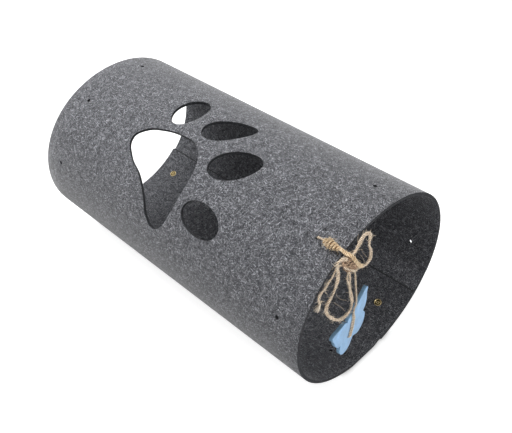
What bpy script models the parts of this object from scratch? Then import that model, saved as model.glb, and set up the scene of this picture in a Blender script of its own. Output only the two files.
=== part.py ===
"""Pet tunnel: one felt sheet rolled into a tube and closed by press studs along a lapped seam,
with a paw print cut through its wall, a ring of lacing holes at each end, and a butterfly toy
that hangs in its mouth on a bow of jute twine.

The tube lies along X with the toy end at +X and rests on the plane z = 0. Arcs are measured
along the tube's outer face, from its top towards -Y, so a whole turn is one girth."""

import math

import bmesh
import bpy
import numpy as np
from mathutils import Matrix, Vector

MM = 0.001

# Felt tube: outer face, as it sags under its own weight
TUNNEL_LENGTH = 500 * MM
TUBE_RADIUS = 128.5 * MM
OVAL_SHARE = 0.06
OVAL_TILT = math.radians(6.6)
FLOOR_CUT = 2.6 * MM
FLOOR_ROUND = 0.7 * MM
FELT = 4.0 * MM
GAP = 0.3 * MM
FACET_ARC = 9.0 * MM

# Lapped seam: its place is counted from where the tube rests
LAP_EDGE_ARC = 26 * MM
LAP_WIDTH = 81 * MM
LAP_RISE = 16 * MM
LAP_REST = 8 * MM
PEEL_SETBACK = 12 * MM

# Lacing holes
HOLES_ROUND = 8
HOLE_DIAMETER = 5.0 * MM
HOLE_SETBACK = 35 * MM
FIRST_HOLE_ARC = -36 * MM
TWINE_HOLE = 1
STUD_PLACE = 5
HOLE_SIDES = 12

# Paw print: shares of its span, counted from its centre along X and along the arc
PAW_SPAN = 200 * MM
PAW_X = 0 * MM
PAW_ARC = 55 * MM
PAD_SHARES = (
    (-0.505, 0.110), (-0.460, 0.025), (-0.330, -0.045), (-0.175, -0.075), (-0.040, -0.065),
    (0.050, 0.000), (0.105, 0.115), (0.110, 0.245), (0.090, 0.415), (0.040, 0.525),
    (-0.030, 0.560), (-0.100, 0.515), (-0.170, 0.405), (-0.275, 0.300), (-0.420, 0.220),
)
TOE_CENTRE_SHARES = ((-0.310, -0.270), (0.049, -0.284), (0.310, -0.073), (0.333, 0.328))
TOE_RADIUS_SHARES = ((0.150, 0.103), (0.185, 0.101), (0.180, 0.112), (0.163, 0.103))
TOE_TURNS = (93, 141, 145, 5)
TOE_EGG_SHARES = (0.0, 0.20, 0.05, 0.0)
TOE_SIDES = 28
CURVE_STEPS = 3

# Press studs: heights are counted outward from the felt's outer face at the seam
STUD_SETBACK = 33 * MM
STUD_ARC = 66 * MM
STUD_STEPS = 20
STUD_RADIUS = 5.0 * MM
POCKET_DEPTH = 2.5 * MM
LAP_POCKET_DEPTH = 1.2 * MM
METAL = 0.6 * MM
CAP_RADIUS = 6.25 * MM
CAP_DOME = 1.6 * MM
POST_RADIUS = 1.8 * MM
FLARE_RADIUS = 2.6 * MM
NIPPLE_RADIUS = 2.3 * MM
NIPPLE_WALL = 0.4 * MM
SOCKET_LIP = 0.45 * MM
SOCKET_ROOM = 0.8 * MM
BARREL_RADIUS = 1.6 * MM
BARREL_BORE = 1.2 * MM
EYELET_ROLL = 0.8 * MM

# Twine: one length of jute, shown as the stretches between its bends. The bow is laid double.
TWINE = 2.2 * MM
BOW_TWINE = 3.6 * MM
KNOT_TWINE = 3.0 * MM
WRAP_TURNS = 8
WRAP_PITCH = 2.6 * MM
WRAP_RADIUS = 2.6 * MM
WRAP_SWELL = 2.0 * MM
WRAP_SWELL_POWER = 1.6
WRAP_SETBACK = 3.4 * MM
KNOT_TURNS = 3
KNOT_PITCH = 3.4 * MM
KNOT_RADIUS = 6.4 * MM
LOOP_POINTS = 24
KNOT_CENTRE = Vector((260.0, -63.4, 216.0)) * MM
KNOT_AXIS = Vector((0, -0.20, 0.98)).normalized()
POINT_STEP = 2.0
LOOP_STEP_SHARE = 1.3
LUMP_STEP_SHARES = (0.3, 0.6, 1.0, 1.4, 1.7)
LUMP_WIDTH_SHARES = (1.30, 1.65, 1.80, 1.60, 0.90)

# Routes of the free stretches, in mm, as the twine hangs
UPPER_LOOP = (
    (260, -61.5, 217.4), (260, -62.1, 221.2), (260, -60.8, 224.8), (259.8, -57.0, 226.4), (259.2, -53.2, 227.0),
    (258.6, -49.4, 229.2), (258.2, -45.0, 233.0), (258, -40, 236.8), (258, -34.6, 237.4), (258, -30, 234.6),
    (258, -27.6, 229.6), (258, -28.2, 223.6), (258, -28.6, 217.6), (258, -26.6, 211), (258, -24.6, 204.4),
    (258, -24.2, 197.8), (258, -26.0, 192.4), (258, -30.2, 189.9), (258, -36, 191.0), (258, -42, 193.9),
    (258.2, -48.2, 196.6), (258.8, -53.8, 199.4), (259.5, -57.6, 203.2), (260, -59.4, 207.6), (260, -60.4, 211.6),
    (260, -61.1, 215.4),
)
LOWER_LOOP = (
    (260, -65.7, 216.6), (260, -66.4, 220.4), (259.8, -67.8, 224.4), (259.2, -71.4, 227.8), (258.4, -75.8, 229.0),
    (257.6, -79.4, 227.4), (257.1, -80.9, 223.0), (257, -80.0, 217.4), (257, -78.6, 211), (257, -78.6, 203.8),
    (257, -80.8, 195.6), (257, -85.2, 186.6), (257, -91, 180.6), (257, -95.8, 174.6), (257, -97, 167.6),
    (257, -94.6, 159.6), (257, -88.8, 149.4), (257, -82, 140.4), (257, -74, 133), (257, -66.4, 129.8),
    (257, -59.6, 130.6), (257, -54.4, 134), (257, -52.2, 140), (257, -52.6, 148.6), (257, -55.0, 160.4),
    (257.2, -57.8, 171.4), (257.8, -60.2, 181.4), (258.8, -62.4, 190), (259.6, -64.0, 197.4), (260, -64.6, 203.8),
    (260, -64.6, 209.4), (260, -65.2, 214.4),
)
TAIL = (
    (255.0, -70.0, 214.6), (253.4, -72.6, 214.4), (252.6, -76.2, 212.6), (252.4, -79.4, 208.6), (252.3, -82.6, 204.6),
    (252.2, -87, 201.8), (252.2, -91, 198.4), (252.2, -95, 195.6), (252.2, -100.2, 193.6), (252.2, -103.6, 190.4),
    (252.2, -104.0, 185.0), (252.2, -101.8, 178.6), (252.4, -102.4, 173.6), (252.6, -105.0, 170.8),
)
TOY_LEAD = (
    (252.8, -58.6, 209.2), (252.2, -53.0, 205.6), (251.2, -47.4, 200.4), (250.1, -42.8, 194.6), (249.4, -40.2, 188.4),
)
STRING_TOP = Vector((249.2, -39.6, 182.5)) * MM
STRING_MIDDLE = Vector((250.0, -34.9, 136.0)) * MM
STRING_FOOT = Vector((250.9, -38.8, 115.0)) * MM

# Butterfly: one side's outline as shares of the half span, then how it hangs
WING_HALF_SPAN = 44 * MM
TOY_THICK = 4.5 * MM
WING_SHARES = (
    (0.00, 0.110), (0.14, 0.085), (0.195, 0.005), (0.27, 0.115), (0.50, 0.190), (0.75, 0.262), (0.915, 0.300),
    (0.976, 0.245), (0.925, 0.060), (0.865, -0.230), (0.780, -0.385), (0.635, -0.480), (0.712, -0.620),
    (0.712, -0.790), (0.620, -0.955), (0.440, -1.050), (0.250, -1.050), (0.090, -0.940), (0.00, -0.880),
)
SHARP_POINTS = (2, 11, 18)
TOY_HEAD = Vector((249.7, -41.7, 102.1)) * MM
TOY_SPAN_WAY = Vector((-0.186, 0.971, 0.148)).normalized()
TOY_DOWN_WAY = Vector((-0.013, 0.148, -0.989)).normalized()
TOY_HOLE_SHARE = (-0.235, -0.590)
TOY_HOLE_DIAMETER = 4.0 * MM
TIE_SHARES = ((-0.195, -0.500), (-0.110, -0.340), (-0.025, -0.180), (0.040, -0.020), (0.060, 0.110))

# Cutters run past what they cut
OVERRUN = 5 * MM

COLOURS = {
    "felt": ((0.155, 0.158, 0.165, 1), 0.95, 0.0),
    "brass": ((0.480, 0.360, 0.110, 1), 0.35, 1.0),
    "jute": ((0.580, 0.420, 0.240, 1), 0.90, 0.0),
    "toy": ((0.270, 0.450, 0.680, 1), 0.85, 0.0),
}


def clear_scene():
    for thing in list(bpy.data.objects):
        bpy.data.objects.remove(thing, do_unlink=True)


def new_collection(name):
    group = bpy.data.collections.new(name)
    bpy.context.scene.collection.children.link(group)
    return group


def make_material(name, finish):
    colour, roughness, metallic = COLOURS[finish]
    material = bpy.data.materials.new(name)
    material.use_nodes = True
    shader = material.node_tree.nodes["Principled BSDF"]
    shader.inputs["Base Color"].default_value = colour
    shader.inputs["Roughness"].default_value = roughness
    shader.inputs["Metallic"].default_value = metallic
    material.diffuse_color = colour
    return material


def add_object(name, data, finish, group):
    thing = bpy.data.objects.new(name, data)
    group.objects.link(thing)
    data.materials.append(make_material(name + "_material", finish))
    return thing


def make_cutter(name, mesh):
    cutter = bpy.data.objects.new(name, mesh)
    CUTTERS.objects.link(cutter)
    cutter.hide_render = True
    cutter.display_type = "WIRE"
    return cutter


def as_mesh(thing, name):
    """The evaluated mesh of an object in world space, with its loose caps welded."""
    bpy.context.view_layer.update()
    graph = bpy.context.evaluated_depsgraph_get()
    mesh = bpy.data.meshes.new_from_object(thing.evaluated_get(graph))
    mesh.name = name
    mesh.transform(thing.matrix_world)
    cells = bmesh.new()
    cells.from_mesh(mesh)
    bmesh.ops.remove_doubles(cells, verts=cells.verts, dist=WELD)
    cells.to_mesh(mesh)
    cells.free()
    return mesh


WELD = 0.002 * MM


# Outer face of the tube, as a table of arc, y, z and the outward normal
def soft_floor(height):
    """Zero below the floor, the height itself above it, with a short round between."""
    low = np.clip(height, -FLOOR_ROUND, FLOOR_ROUND)
    rounded = (low + FLOOR_ROUND) ** 2 / (4 * FLOOR_ROUND)
    return np.where(height > FLOOR_ROUND, height, rounded)


def tube_outline():
    turn = np.radians(np.linspace(90, 450, 2881))
    radius = TUBE_RADIUS * (1 + OVAL_SHARE * np.cos(2 * (turn - OVAL_TILT)))
    y = radius * np.cos(turn)
    z = radius * np.sin(turn)
    z = soft_floor(z - z.min() - FLOOR_CUT)
    arc = np.concatenate([[0], np.cumsum(np.hypot(np.diff(y), np.diff(z)))])
    slope_y = np.gradient(y, arc)
    slope_z = np.gradient(z, arc)
    length = np.hypot(slope_y, slope_z)
    return {"arc": arc, "y": y, "z": z, "ny": slope_z / length, "nz": -slope_y / length, "turn": turn}


TUBE = tube_outline()
GIRTH = TUBE["arc"][-1]
REST_ARC = float(np.interp(np.radians(270), TUBE["turn"], TUBE["arc"]))
LAP_EDGE = REST_ARC + LAP_EDGE_ARC
LAP_END = LAP_EDGE + LAP_WIDTH
PEEL_LINE = LAP_END - GIRTH + PEEL_SETBACK
FLAP_EDGE = LAP_EDGE - GIRTH
HOLE_PITCH = GIRTH / HOLES_ROUND


def lap_depth(arc):
    """How far the sheet's inner end lies below the outer face."""
    share = (arc - REST_ARC - LAP_REST) / LAP_RISE
    share = min(max(share, 0), 1)
    return (FELT + GAP) * share * share * (3 - 2 * share)


def on_tube(x, arc, height=0.0):
    """The point at a height above the tube's outer face."""
    place = arc % GIRTH
    y, z, ny, nz = (float(np.interp(place, TUBE["arc"], TUBE[key])) for key in ("y", "z", "ny", "nz"))
    return Vector((x, y + ny * height, z + nz * height))


def tube_frame(x, arc):
    """A frame on the outer face: its Z points outward and its X along the tube."""
    foot = on_tube(x, arc)
    out = (on_tube(x, arc, FELT) - foot).normalized()
    along = Vector((1, 0, 0))
    side = out.cross(along)
    turn = Matrix((along, side, out)).transposed()
    return Matrix.Translation(foot) @ turn.to_4x4()


# Flat cutters, made on the flat sheet before it is rolled
def flat_prism(name, matrix, sides, egg_share=0):
    """A prism of unit radius through the sheet, wider at one end, placed by a matrix."""
    cells = bmesh.new()
    bmesh.ops.create_cone(cells, cap_ends=True, segments=sides, radius1=1, radius2=1, depth=1)
    for vert in cells.verts:
        vert.co.y *= 1 + egg_share * vert.co.x
    bmesh.ops.transform(cells, matrix=matrix, verts=cells.verts)
    mesh = bpy.data.meshes.new(name)
    cells.to_mesh(mesh)
    cells.free()
    return make_cutter(name, mesh)


def round_cutter(name, x, arc, radius, top, bottom, sides=HOLE_SIDES):
    scale = Matrix.Diagonal((radius, radius, top - bottom, 1))
    place = Matrix.Translation((x, arc, (top + bottom) / 2))
    return flat_prism(name, place @ scale, sides)


def toe_cutter(index):
    along, round_arc = TOE_CENTRE_SHARES[index]
    half_long, half_wide = TOE_RADIUS_SHARES[index]
    centre = Vector((PAW_X + along * PAW_SPAN, PAW_ARC + round_arc * PAW_SPAN, -FELT / 2))
    turn = Matrix.Rotation(math.radians(TOE_TURNS[index]), 4, "Z")
    scale = Matrix.Diagonal((half_long * PAW_SPAN, half_wide * PAW_SPAN, FELT + 2 * OVERRUN, 1))
    name = "toe_cutter_%d" % (index + 1)
    return flat_prism(name, Matrix.Translation(centre) @ turn @ scale, TOE_SIDES, TOE_EGG_SHARES[index])


def flat_outline(name, points, half_thick, sharp=()):
    """A filled closed outline with rounded stretches, as a 2D curve."""
    curve = bpy.data.curves.new(name, "CURVE")
    curve.dimensions = "2D"
    curve.fill_mode = "BOTH"
    curve.extrude = half_thick
    curve.resolution_u = CURVE_STEPS
    line = curve.splines.new("BEZIER")
    line.bezier_points.add(len(points) - 1)
    line.use_cyclic_u = True
    for index, (knot, point) in enumerate(zip(line.bezier_points, points)):
        knot.co = (point[0], point[1], 0)
        kind = "VECTOR" if index in sharp else "AUTO"
        knot.handle_left_type = kind
        knot.handle_right_type = kind
    return curve


def pad_cutter():
    points = [(PAW_X + a * PAW_SPAN, PAW_ARC + b * PAW_SPAN) for a, b in PAD_SHARES]
    shape = bpy.data.objects.new("pad_shape", flat_outline("pad_shape", points, FELT / 2 + OVERRUN))
    CUTTERS.objects.link(shape)
    shape.location.z = -FELT / 2
    mesh = as_mesh(shape, "pad_cutter")
    bpy.data.objects.remove(shape)
    return make_cutter("pad_cutter", mesh)


def lacing_cutters():
    """A cutter for each lacing hole of both ends; the stud takes the place of one hole."""
    cutters = []
    for end in (-1, 1):
        for place in range(STUD_PLACE - HOLES_ROUND + 1, STUD_PLACE):
            x = end * (TUNNEL_LENGTH / 2 - HOLE_SETBACK)
            arc = FIRST_HOLE_ARC + place * HOLE_PITCH
            arc += GIRTH if arc < PEEL_LINE else 0
            name = "lacing_cutter_%d_%d" % (end, place)
            cutters.append(round_cutter(name, x, arc, HOLE_DIAMETER / 2, OVERRUN, -FELT - OVERRUN))
    return cutters


def flat_sheet(name, arc_from, arc_to, cutters):
    """The flat felt between two arcs, with its holes cut."""
    cells = bmesh.new()
    bmesh.ops.create_cube(cells, size=1)
    middle = Vector((0, (arc_from + arc_to) / 2, -FELT / 2))
    scale = Matrix.Diagonal((TUNNEL_LENGTH, arc_to - arc_from, FELT, 1))
    bmesh.ops.transform(cells, matrix=Matrix.Translation(middle) @ scale, verts=cells.verts)
    mesh = bpy.data.meshes.new(name)
    cells.to_mesh(mesh)
    cells.free()
    sheet = bpy.data.objects.new(name + "_flat", mesh)
    CUTTERS.objects.link(sheet)
    for cutter in cutters:
        cut = sheet.modifiers.new(cutter.name, "BOOLEAN")
        cut.operation = "DIFFERENCE"
        cut.object = cutter
    cut_mesh = as_mesh(sheet, name)
    bpy.data.objects.remove(sheet)
    return cut_mesh


def rolled(mesh, arc_from, arc_to, inner_end):
    """Creases the flat sheet across its length and rolls it onto the tube."""
    cells = bmesh.new()
    cells.from_mesh(mesh)
    count = math.ceil((arc_to - arc_from) / FACET_ARC)
    creases = [arc_from + (arc_to - arc_from) * step / count for step in range(1, count)]
    if inner_end:
        creases += [REST_ARC + LAP_REST + LAP_RISE * step / 5 for step in range(6)]
    for arc in creases:
        parts = cells.verts[:] + cells.edges[:] + cells.faces[:]
        bmesh.ops.bisect_plane(cells, geom=parts, dist=WELD, plane_co=(0, arc, 0), plane_no=(0, 1, 0))
    for vert in cells.verts:
        x, arc, height = vert.co
        vert.co = on_tube(x, arc, height - (lap_depth(arc) if inner_end else 0))
    bmesh.ops.triangulate(cells, faces=cells.faces)
    bmesh.ops.recalc_face_normals(cells, faces=cells.faces)
    cells.to_mesh(mesh)
    cells.free()
    mesh.shade_smooth()
    mesh.set_sharp_from_angle(angle=math.radians(30))
    return mesh


def build_felt():
    """The sheet, and the outer end of it that peels open along the seam."""
    stud_x = TUNNEL_LENGTH / 2 - STUD_SETBACK
    stud_arc = REST_ARC + STUD_ARC
    sheet_cutters = [pad_cutter()] + [toe_cutter(index) for index in range(len(TOE_CENTRE_SHARES))]
    sheet_cutters += lacing_cutters()
    flap_cutters = []
    for end in (-1, 1):
        x = end * stud_x
        room = STUD_RADIUS + GAP
        sheet_cutters += [
            round_cutter("lap_pocket_%d" % end, x, stud_arc, room, OVERRUN, -LAP_POCKET_DEPTH, STUD_STEPS),
            round_cutter("lap_bore_%d" % end, x, stud_arc, BARREL_RADIUS + GAP, OVERRUN, -FELT - OVERRUN),
        ]
        arc = stud_arc - GIRTH
        flap_cutters += [
            round_cutter("flap_pocket_%d" % end, x, arc, room, POCKET_DEPTH - FELT, -FELT - OVERRUN, STUD_STEPS),
            round_cutter("flap_bore_%d" % end, x, arc, POST_RADIUS + GAP, OVERRUN, -FELT - OVERRUN),
        ]
    sheet_from = PEEL_LINE + GAP / 2
    flap_to = PEEL_LINE - GAP / 2
    sheet = rolled(flat_sheet("felt_sheet", sheet_from, LAP_END, sheet_cutters), sheet_from, LAP_END, True)
    flap = rolled(flat_sheet("felt_flap", FLAP_EDGE, flap_to, flap_cutters), FLAP_EDGE, flap_to, False)
    add_object("felt_sheet", sheet, "felt", PARTS)
    add_object("felt_flap", flap, "felt", PARTS)


# Press studs, turned about their own axis
def turned(name, profile, finish):
    """A turned piece; the profile lists radius and height, down its outer side."""
    mesh = bpy.data.meshes.new(name)
    cells = bmesh.new()
    points = [cells.verts.new((radius, 0, height)) for radius, height in profile]
    closed = profile[0][0] > 0
    for first, second in zip(points, points[1:] + points[:1] if closed else points[1:]):
        cells.edges.new((first, second))
    cells.to_mesh(mesh)
    cells.free()
    piece = add_object(name, mesh, finish, PARTS)
    screw = piece.modifiers.new("turn", "SCREW")
    screw.steps = STUD_STEPS
    screw.render_steps = STUD_STEPS
    screw.use_merge_vertices = True
    screw.merge_threshold = WELD
    screw.use_smooth_shade = False
    return piece


def build_studs():
    """Four turned brass pieces at each end of the seam."""
    sag = STUD_RADIUS ** 2 / (2 * TUBE_RADIUS)
    socket_top = -FELT + POCKET_DEPTH - GAP - sag
    plate = socket_top - METAL
    flare_top = plate - GAP
    flare_foot = flare_top - METAL / 2
    nipple_top = flare_foot - GAP
    socket_foot = -FELT - GAP / 2
    stud_top = -FELT - LAP_POCKET_DEPTH + sag + METAL
    stud_foot = stud_top - METAL
    inner_face = -2 * FELT - GAP
    roll_top = inner_face - GAP
    roll_foot = roll_top - EYELET_ROLL
    barrel_top = nipple_top - NIPPLE_WALL - GAP
    socket_bore = NIPPLE_RADIUS + SOCKET_LIP
    socket_room = NIPPLE_RADIUS + SOCKET_ROOM
    eyelet_side = (BARREL_RADIUS + STUD_RADIUS) / 2
    cap = (
        (0, GAP + CAP_DOME), (CAP_RADIUS / 2, GAP + CAP_DOME * 0.9), (CAP_RADIUS * 0.88, GAP + CAP_DOME * 0.55),
        (CAP_RADIUS, GAP + METAL / 2), (CAP_RADIUS, GAP), (POST_RADIUS, GAP), (POST_RADIUS, flare_top),
        (FLARE_RADIUS, flare_top), (FLARE_RADIUS, flare_foot), (0, flare_foot),
    )
    socket = (
        (STUD_RADIUS - METAL / 2, socket_top), (STUD_RADIUS, socket_top - METAL / 2),
        (STUD_RADIUS, socket_foot), (socket_bore, socket_foot), (socket_bore, socket_foot + METAL / 2),
        (socket_room, socket_foot + METAL / 2), (socket_room, plate), (POST_RADIUS + GAP, plate),
        (POST_RADIUS + GAP, socket_top),
    )
    stud = (
        (0, nipple_top), (NIPPLE_RADIUS - METAL / 2, nipple_top), (NIPPLE_RADIUS, nipple_top - METAL / 2),
        (NIPPLE_RADIUS, stud_top), (STUD_RADIUS, stud_top), (STUD_RADIUS, stud_foot),
        (NIPPLE_RADIUS - NIPPLE_WALL, stud_foot), (NIPPLE_RADIUS - NIPPLE_WALL, nipple_top - NIPPLE_WALL),
        (0, nipple_top - NIPPLE_WALL),
    )
    eyelet = (
        (BARREL_RADIUS, barrel_top), (BARREL_RADIUS, roll_top), (STUD_RADIUS - METAL / 2, roll_top),
        (STUD_RADIUS, (roll_top + roll_foot) / 2), (eyelet_side + METAL, roll_foot),
        (eyelet_side - METAL, roll_foot), (BARREL_BORE + METAL / 2, roll_top - METAL / 2),
        (BARREL_BORE, roll_top), (BARREL_BORE, barrel_top),
    )
    for end, word in ((1, "front"), (-1, "rear")):
        place = tube_frame(end * (TUNNEL_LENGTH / 2 - STUD_SETBACK), REST_ARC + STUD_ARC)
        for part, profile in (("cap", cap), ("socket", socket), ("stud", stud), ("eyelet", eyelet)):
            turned("%s_press_%s" % (word, part), profile, "brass").matrix_world = place


# Twine
def smooth_route(points, step):
    """Points at even steps along a smooth curve through the route's own points."""
    knots = np.array([tuple(point) for point in points], float)
    ahead = np.vstack([2 * knots[0] - knots[1], knots, 2 * knots[-1] - knots[-2]])
    fine = []
    for index in range(1, len(ahead) - 2):
        before, start, end, after = ahead[index - 1:index + 3]
        for share in np.linspace(0, 1, 12, endpoint=False):
            fine.append(0.5 * (2 * start + (end - before) * share
                               + (2 * before - 5 * start + 4 * end - after) * share ** 2
                               + (3 * start - before - 3 * end + after) * share ** 3))
    fine.append(knots[-1])
    fine = np.array(fine)
    run = np.concatenate([[0], np.cumsum(np.linalg.norm(np.diff(fine, axis=0), axis=1))])
    count = max(3, round(run[-1] / step) + 1)
    places = np.linspace(0, run[-1], count)
    return [Vector([float(np.interp(place, run, fine[:, axis])) for axis in range(3)]) for place in places]


def twine_tube(name, points, sides_step, radii=None, width=TWINE):
    curve = bpy.data.curves.new(name, "CURVE")
    curve.dimensions = "3D"
    curve.bevel_depth = width / 2
    curve.bevel_resolution = sides_step
    curve.use_fill_caps = True
    line = curve.splines.new("POLY")
    line.points.add(len(points) - 1)
    for index, point in enumerate(points):
        line.points[index].co = (*point, 1)
        line.points[index].radius = radii[index] if radii else 1
    piece = bpy.data.objects.new(name, curve)
    PARTS.objects.link(piece)
    mesh = as_mesh(piece, name)
    bpy.data.objects.remove(piece)
    mesh.shade_smooth()
    mesh.set_sharp_from_angle(angle=math.radians(50))
    return add_object(name, mesh, "jute", PARTS)


def in_metres(route):
    return [Vector(point) * MM for point in route]


def least_gap(points, skip, width):
    """The least clear width between turns that lie skip points or more apart."""
    table = np.array([tuple(point) for point in points])
    away = np.linalg.norm(table[:, None] - table[None], axis=2)
    rows, columns = np.indices(away.shape)
    return away[np.abs(rows - columns) >= skip].min() - width


def build_rim_tie(arc, hole_x):
    """The twine that holds the bow: out over the wall, through the hole and back inside."""
    rim_x = TUNNEL_LENGTH / 2
    over = WRAP_RADIUS + WRAP_SWELL + TWINE / 2 + GAP
    under = -FELT - TWINE / 2 - GAP
    wrap_start = rim_x - WRAP_SETBACK
    wrap_end = wrap_start - WRAP_TURNS * WRAP_PITCH
    slack = HOLE_DIAMETER / 2 * math.cos(math.pi / HOLE_SIDES) - TWINE / 2 - GAP
    bore_x = hole_x - slack
    places = (
        (rim_x + TWINE * 2.0, over * 0.1), (rim_x + TWINE * 1.2, over * 0.55), (rim_x + TWINE * 0.3, over * 0.9),
        (wrap_start + TWINE * 0.7, over), (wrap_start, over), ((wrap_start + wrap_end) / 2, over), (wrap_end, over),
        (wrap_end - TWINE * 0.6, over), (hole_x + TWINE * 0.5, over - TWINE * 0.45),
        (bore_x + TWINE * 0.15, TWINE * 0.45), (bore_x, -FELT / 2), (bore_x + TWINE * 0.15, -FELT - TWINE * 0.45),
        (hole_x + TWINE * 0.5, under - TWINE * 0.1), (hole_x + TWINE * 1.6, under), (hole_x + TWINE * 4, under),
        (rim_x - TWINE * 3, under), (rim_x + TWINE * 0.95, under),
    )
    route = smooth_route([on_tube(x, arc, height) for x, height in places], TWINE * 0.8)
    return twine_tube("twine_rim_tie", route, 2)


def build_wrap(arc):
    """Turns of the twine's own end, wound round the stretch outside the wall."""
    over = WRAP_RADIUS + WRAP_SWELL + TWINE / 2 + GAP
    middle = on_tube(0, arc, over)
    out = (on_tube(0, arc, over + FELT) - middle).normalized()
    side = out.cross(Vector((1, 0, 0)))
    count = WRAP_TURNS * LOOP_POINTS
    points = []
    for step in range(count + 1):
        turn = 2 * math.pi * step / LOOP_POINTS
        swell = WRAP_SWELL * math.sin(math.pi * (step / count) ** WRAP_SWELL_POWER)
        spoke = (side * math.cos(turn) + out * math.sin(turn)) * (WRAP_RADIUS + swell)
        x = TUNNEL_LENGTH / 2 - WRAP_SETBACK - WRAP_PITCH * step / LOOP_POINTS
        points.append(Vector((x, middle.y, middle.z)) + spoke)
    print("least gap in the wrap, mm:", round(least_gap(points, LOOP_POINTS // 2, TWINE) / MM, 2))
    lead = [points[0] + Vector((TWINE * share, 0, 0)) for share in (2.8, 1.9, 1.0)]
    return twine_tube("twine_wrap", lead + points, 1)


def build_knot():
    """The band of the bow: three turns round the roots of its loops, then the toy's lead."""
    first = Vector((1, 0, 0))
    second = KNOT_AXIS.cross(first)
    count = KNOT_TURNS * LOOP_POINTS
    points = []
    for step in range(count + 1):
        turn = math.pi + 2 * math.pi * step / LOOP_POINTS
        height = KNOT_PITCH * (KNOT_TURNS / 2 - step / LOOP_POINTS)
        spoke = (first * math.cos(turn) - second * math.sin(turn)) * KNOT_RADIUS
        points.append(KNOT_CENTRE + KNOT_AXIS * height + spoke)
    print("least gap in the knot, mm:", round(least_gap(points, LOOP_POINTS // 2, KNOT_TWINE) / MM, 2))
    lead = smooth_route([points[-1]] + in_metres(TOY_LEAD) + [STRING_TOP + Vector((0, 0, TWINE / 2 + GAP))],
                        POINT_STEP * TWINE)
    thin = [TWINE / KNOT_TWINE] * (len(lead) - 1)
    return twine_tube("bow_knot", points + lead[1:], 1, [1] * len(points) + thin, KNOT_TWINE)


def end_lump(end, way):
    """The lump of a small overhand knot past the end of a tube: its points and widths."""
    return [end + way * (TWINE * share) for share in LUMP_STEP_SHARES], list(LUMP_WIDTH_SHARES)


def build_bow():
    for name, route in (("bow_upper_loop", UPPER_LOOP), ("bow_lower_loop", LOWER_LOOP)):
        twine_tube(name, smooth_route(in_metres(route), LOOP_STEP_SHARE * BOW_TWINE), 2, width=BOW_TWINE)
    tail = smooth_route(in_metres(TAIL), POINT_STEP * TWINE)
    lump, widths = end_lump(tail[-1], (tail[-1] - tail[-2]).normalized())
    twine_tube("bow_tail", tail + lump, 2, [1] * len(tail) + widths)


def string_link(name, top, foot, room):
    """A stretch of the toy's string with a round top end, which is its pivot."""
    way = (foot - top).normalized()
    low = (foot - top).length - room
    count = max(3, round(low / (POINT_STEP * TWINE)))
    body = [top + way * (low * step / count) for step in range(count + 1)]
    round_steps = (math.radians(72), math.radians(48), math.radians(24))
    crown = [top - way * (TWINE / 2 * math.sin(turn)) for turn in round_steps]
    radii = [math.cos(turn) for turn in round_steps] + [1] * len(body)
    return twine_tube(name, crown + body, 2, radii)


def toy_frame():
    """The butterfly's frame: X across its span, Y up its body, Z out of its front face."""
    out = TOY_SPAN_WAY.cross(-TOY_DOWN_WAY).normalized()
    up = out.cross(TOY_SPAN_WAY)
    turn = Matrix((TOY_SPAN_WAY, up, out)).transposed()
    return Matrix.Translation(TOY_HEAD) @ turn.to_4x4()


def build_toy():
    right = [(a * WING_HALF_SPAN, b * WING_HALF_SPAN) for a, b in WING_SHARES]
    left = [(-a, b) for a, b in right[-2:0:-1]]
    mirrored = [2 * (len(right) - 1) - index for index in SHARP_POINTS if index < len(right) - 1]
    curve = flat_outline("butterfly", right + left, TOY_THICK / 2, SHARP_POINTS + tuple(mirrored))
    shape = bpy.data.objects.new("butterfly_shape", curve)
    CUTTERS.objects.link(shape)
    shape.location.z = -TOY_THICK / 2
    mesh = as_mesh(shape, "butterfly")
    bpy.data.objects.remove(shape)
    place = toy_frame()
    toy = add_object("butterfly", mesh, "toy", PARTS)
    toy.matrix_world = place
    hole_x, hole_y = (share * WING_HALF_SPAN for share in TOY_HOLE_SHARE)
    cutter = round_cutter("toy_hole", hole_x, hole_y, TOY_HOLE_DIAMETER / 2, OVERRUN, -TOY_THICK - OVERRUN)
    cutter.matrix_world = place
    cut = toy.modifiers.new("hole", "BOOLEAN")
    cut.operation = "DIFFERENCE"
    cut.object = cutter
    face = TWINE / 2 + GAP
    bend = Vector((TIE_SHARES[0][0] - TOY_HOLE_SHARE[0], TIE_SHARES[0][1] - TOY_HOLE_SHARE[1], 0)).normalized()
    hole = Vector((hole_x, hole_y, 0))
    back = hole - Vector((0, 0, TOY_THICK))
    through = [back, (hole + back) / 2, hole, hole + bend * (TWINE * 0.2) + Vector((0, 0, face + TWINE * 0.1)),
               hole + bend * TWINE + Vector((0, 0, face + TWINE * 0.3))]
    along = [Vector((a * WING_HALF_SPAN, b * WING_HALF_SPAN, face)) for a, b in TIE_SHARES]
    route = smooth_route([place @ point for point in through + along] + [STRING_FOOT], TWINE * 0.8)
    lump, widths = end_lump(route[0], (route[0] - route[1]).normalized())
    twine_tube("toy_tie", lump[::-1] + route, 2, widths[::-1] + [1] * len(route))


def build_twine():
    arc = FIRST_HOLE_ARC + TWINE_HOLE * HOLE_PITCH
    hole_x = TUNNEL_LENGTH / 2 - HOLE_SETBACK
    build_rim_tie(arc, hole_x)
    build_wrap(arc)
    build_knot()
    build_bow()
    string_link("toy_string_upper", STRING_TOP, STRING_MIDDLE, TWINE / 2 + GAP)
    string_link("toy_string_lower", STRING_MIDDLE, STRING_FOOT, GAP)


clear_scene()
PARTS = new_collection("pet_tunnel")
CUTTERS = new_collection("cutters")
build_felt()
build_studs()
build_twine()
build_toy()
print("girth, mm:", round(GIRTH / MM, 1), " flat sheet, mm:", round((LAP_END - FLAP_EDGE) / MM, 1))
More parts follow.
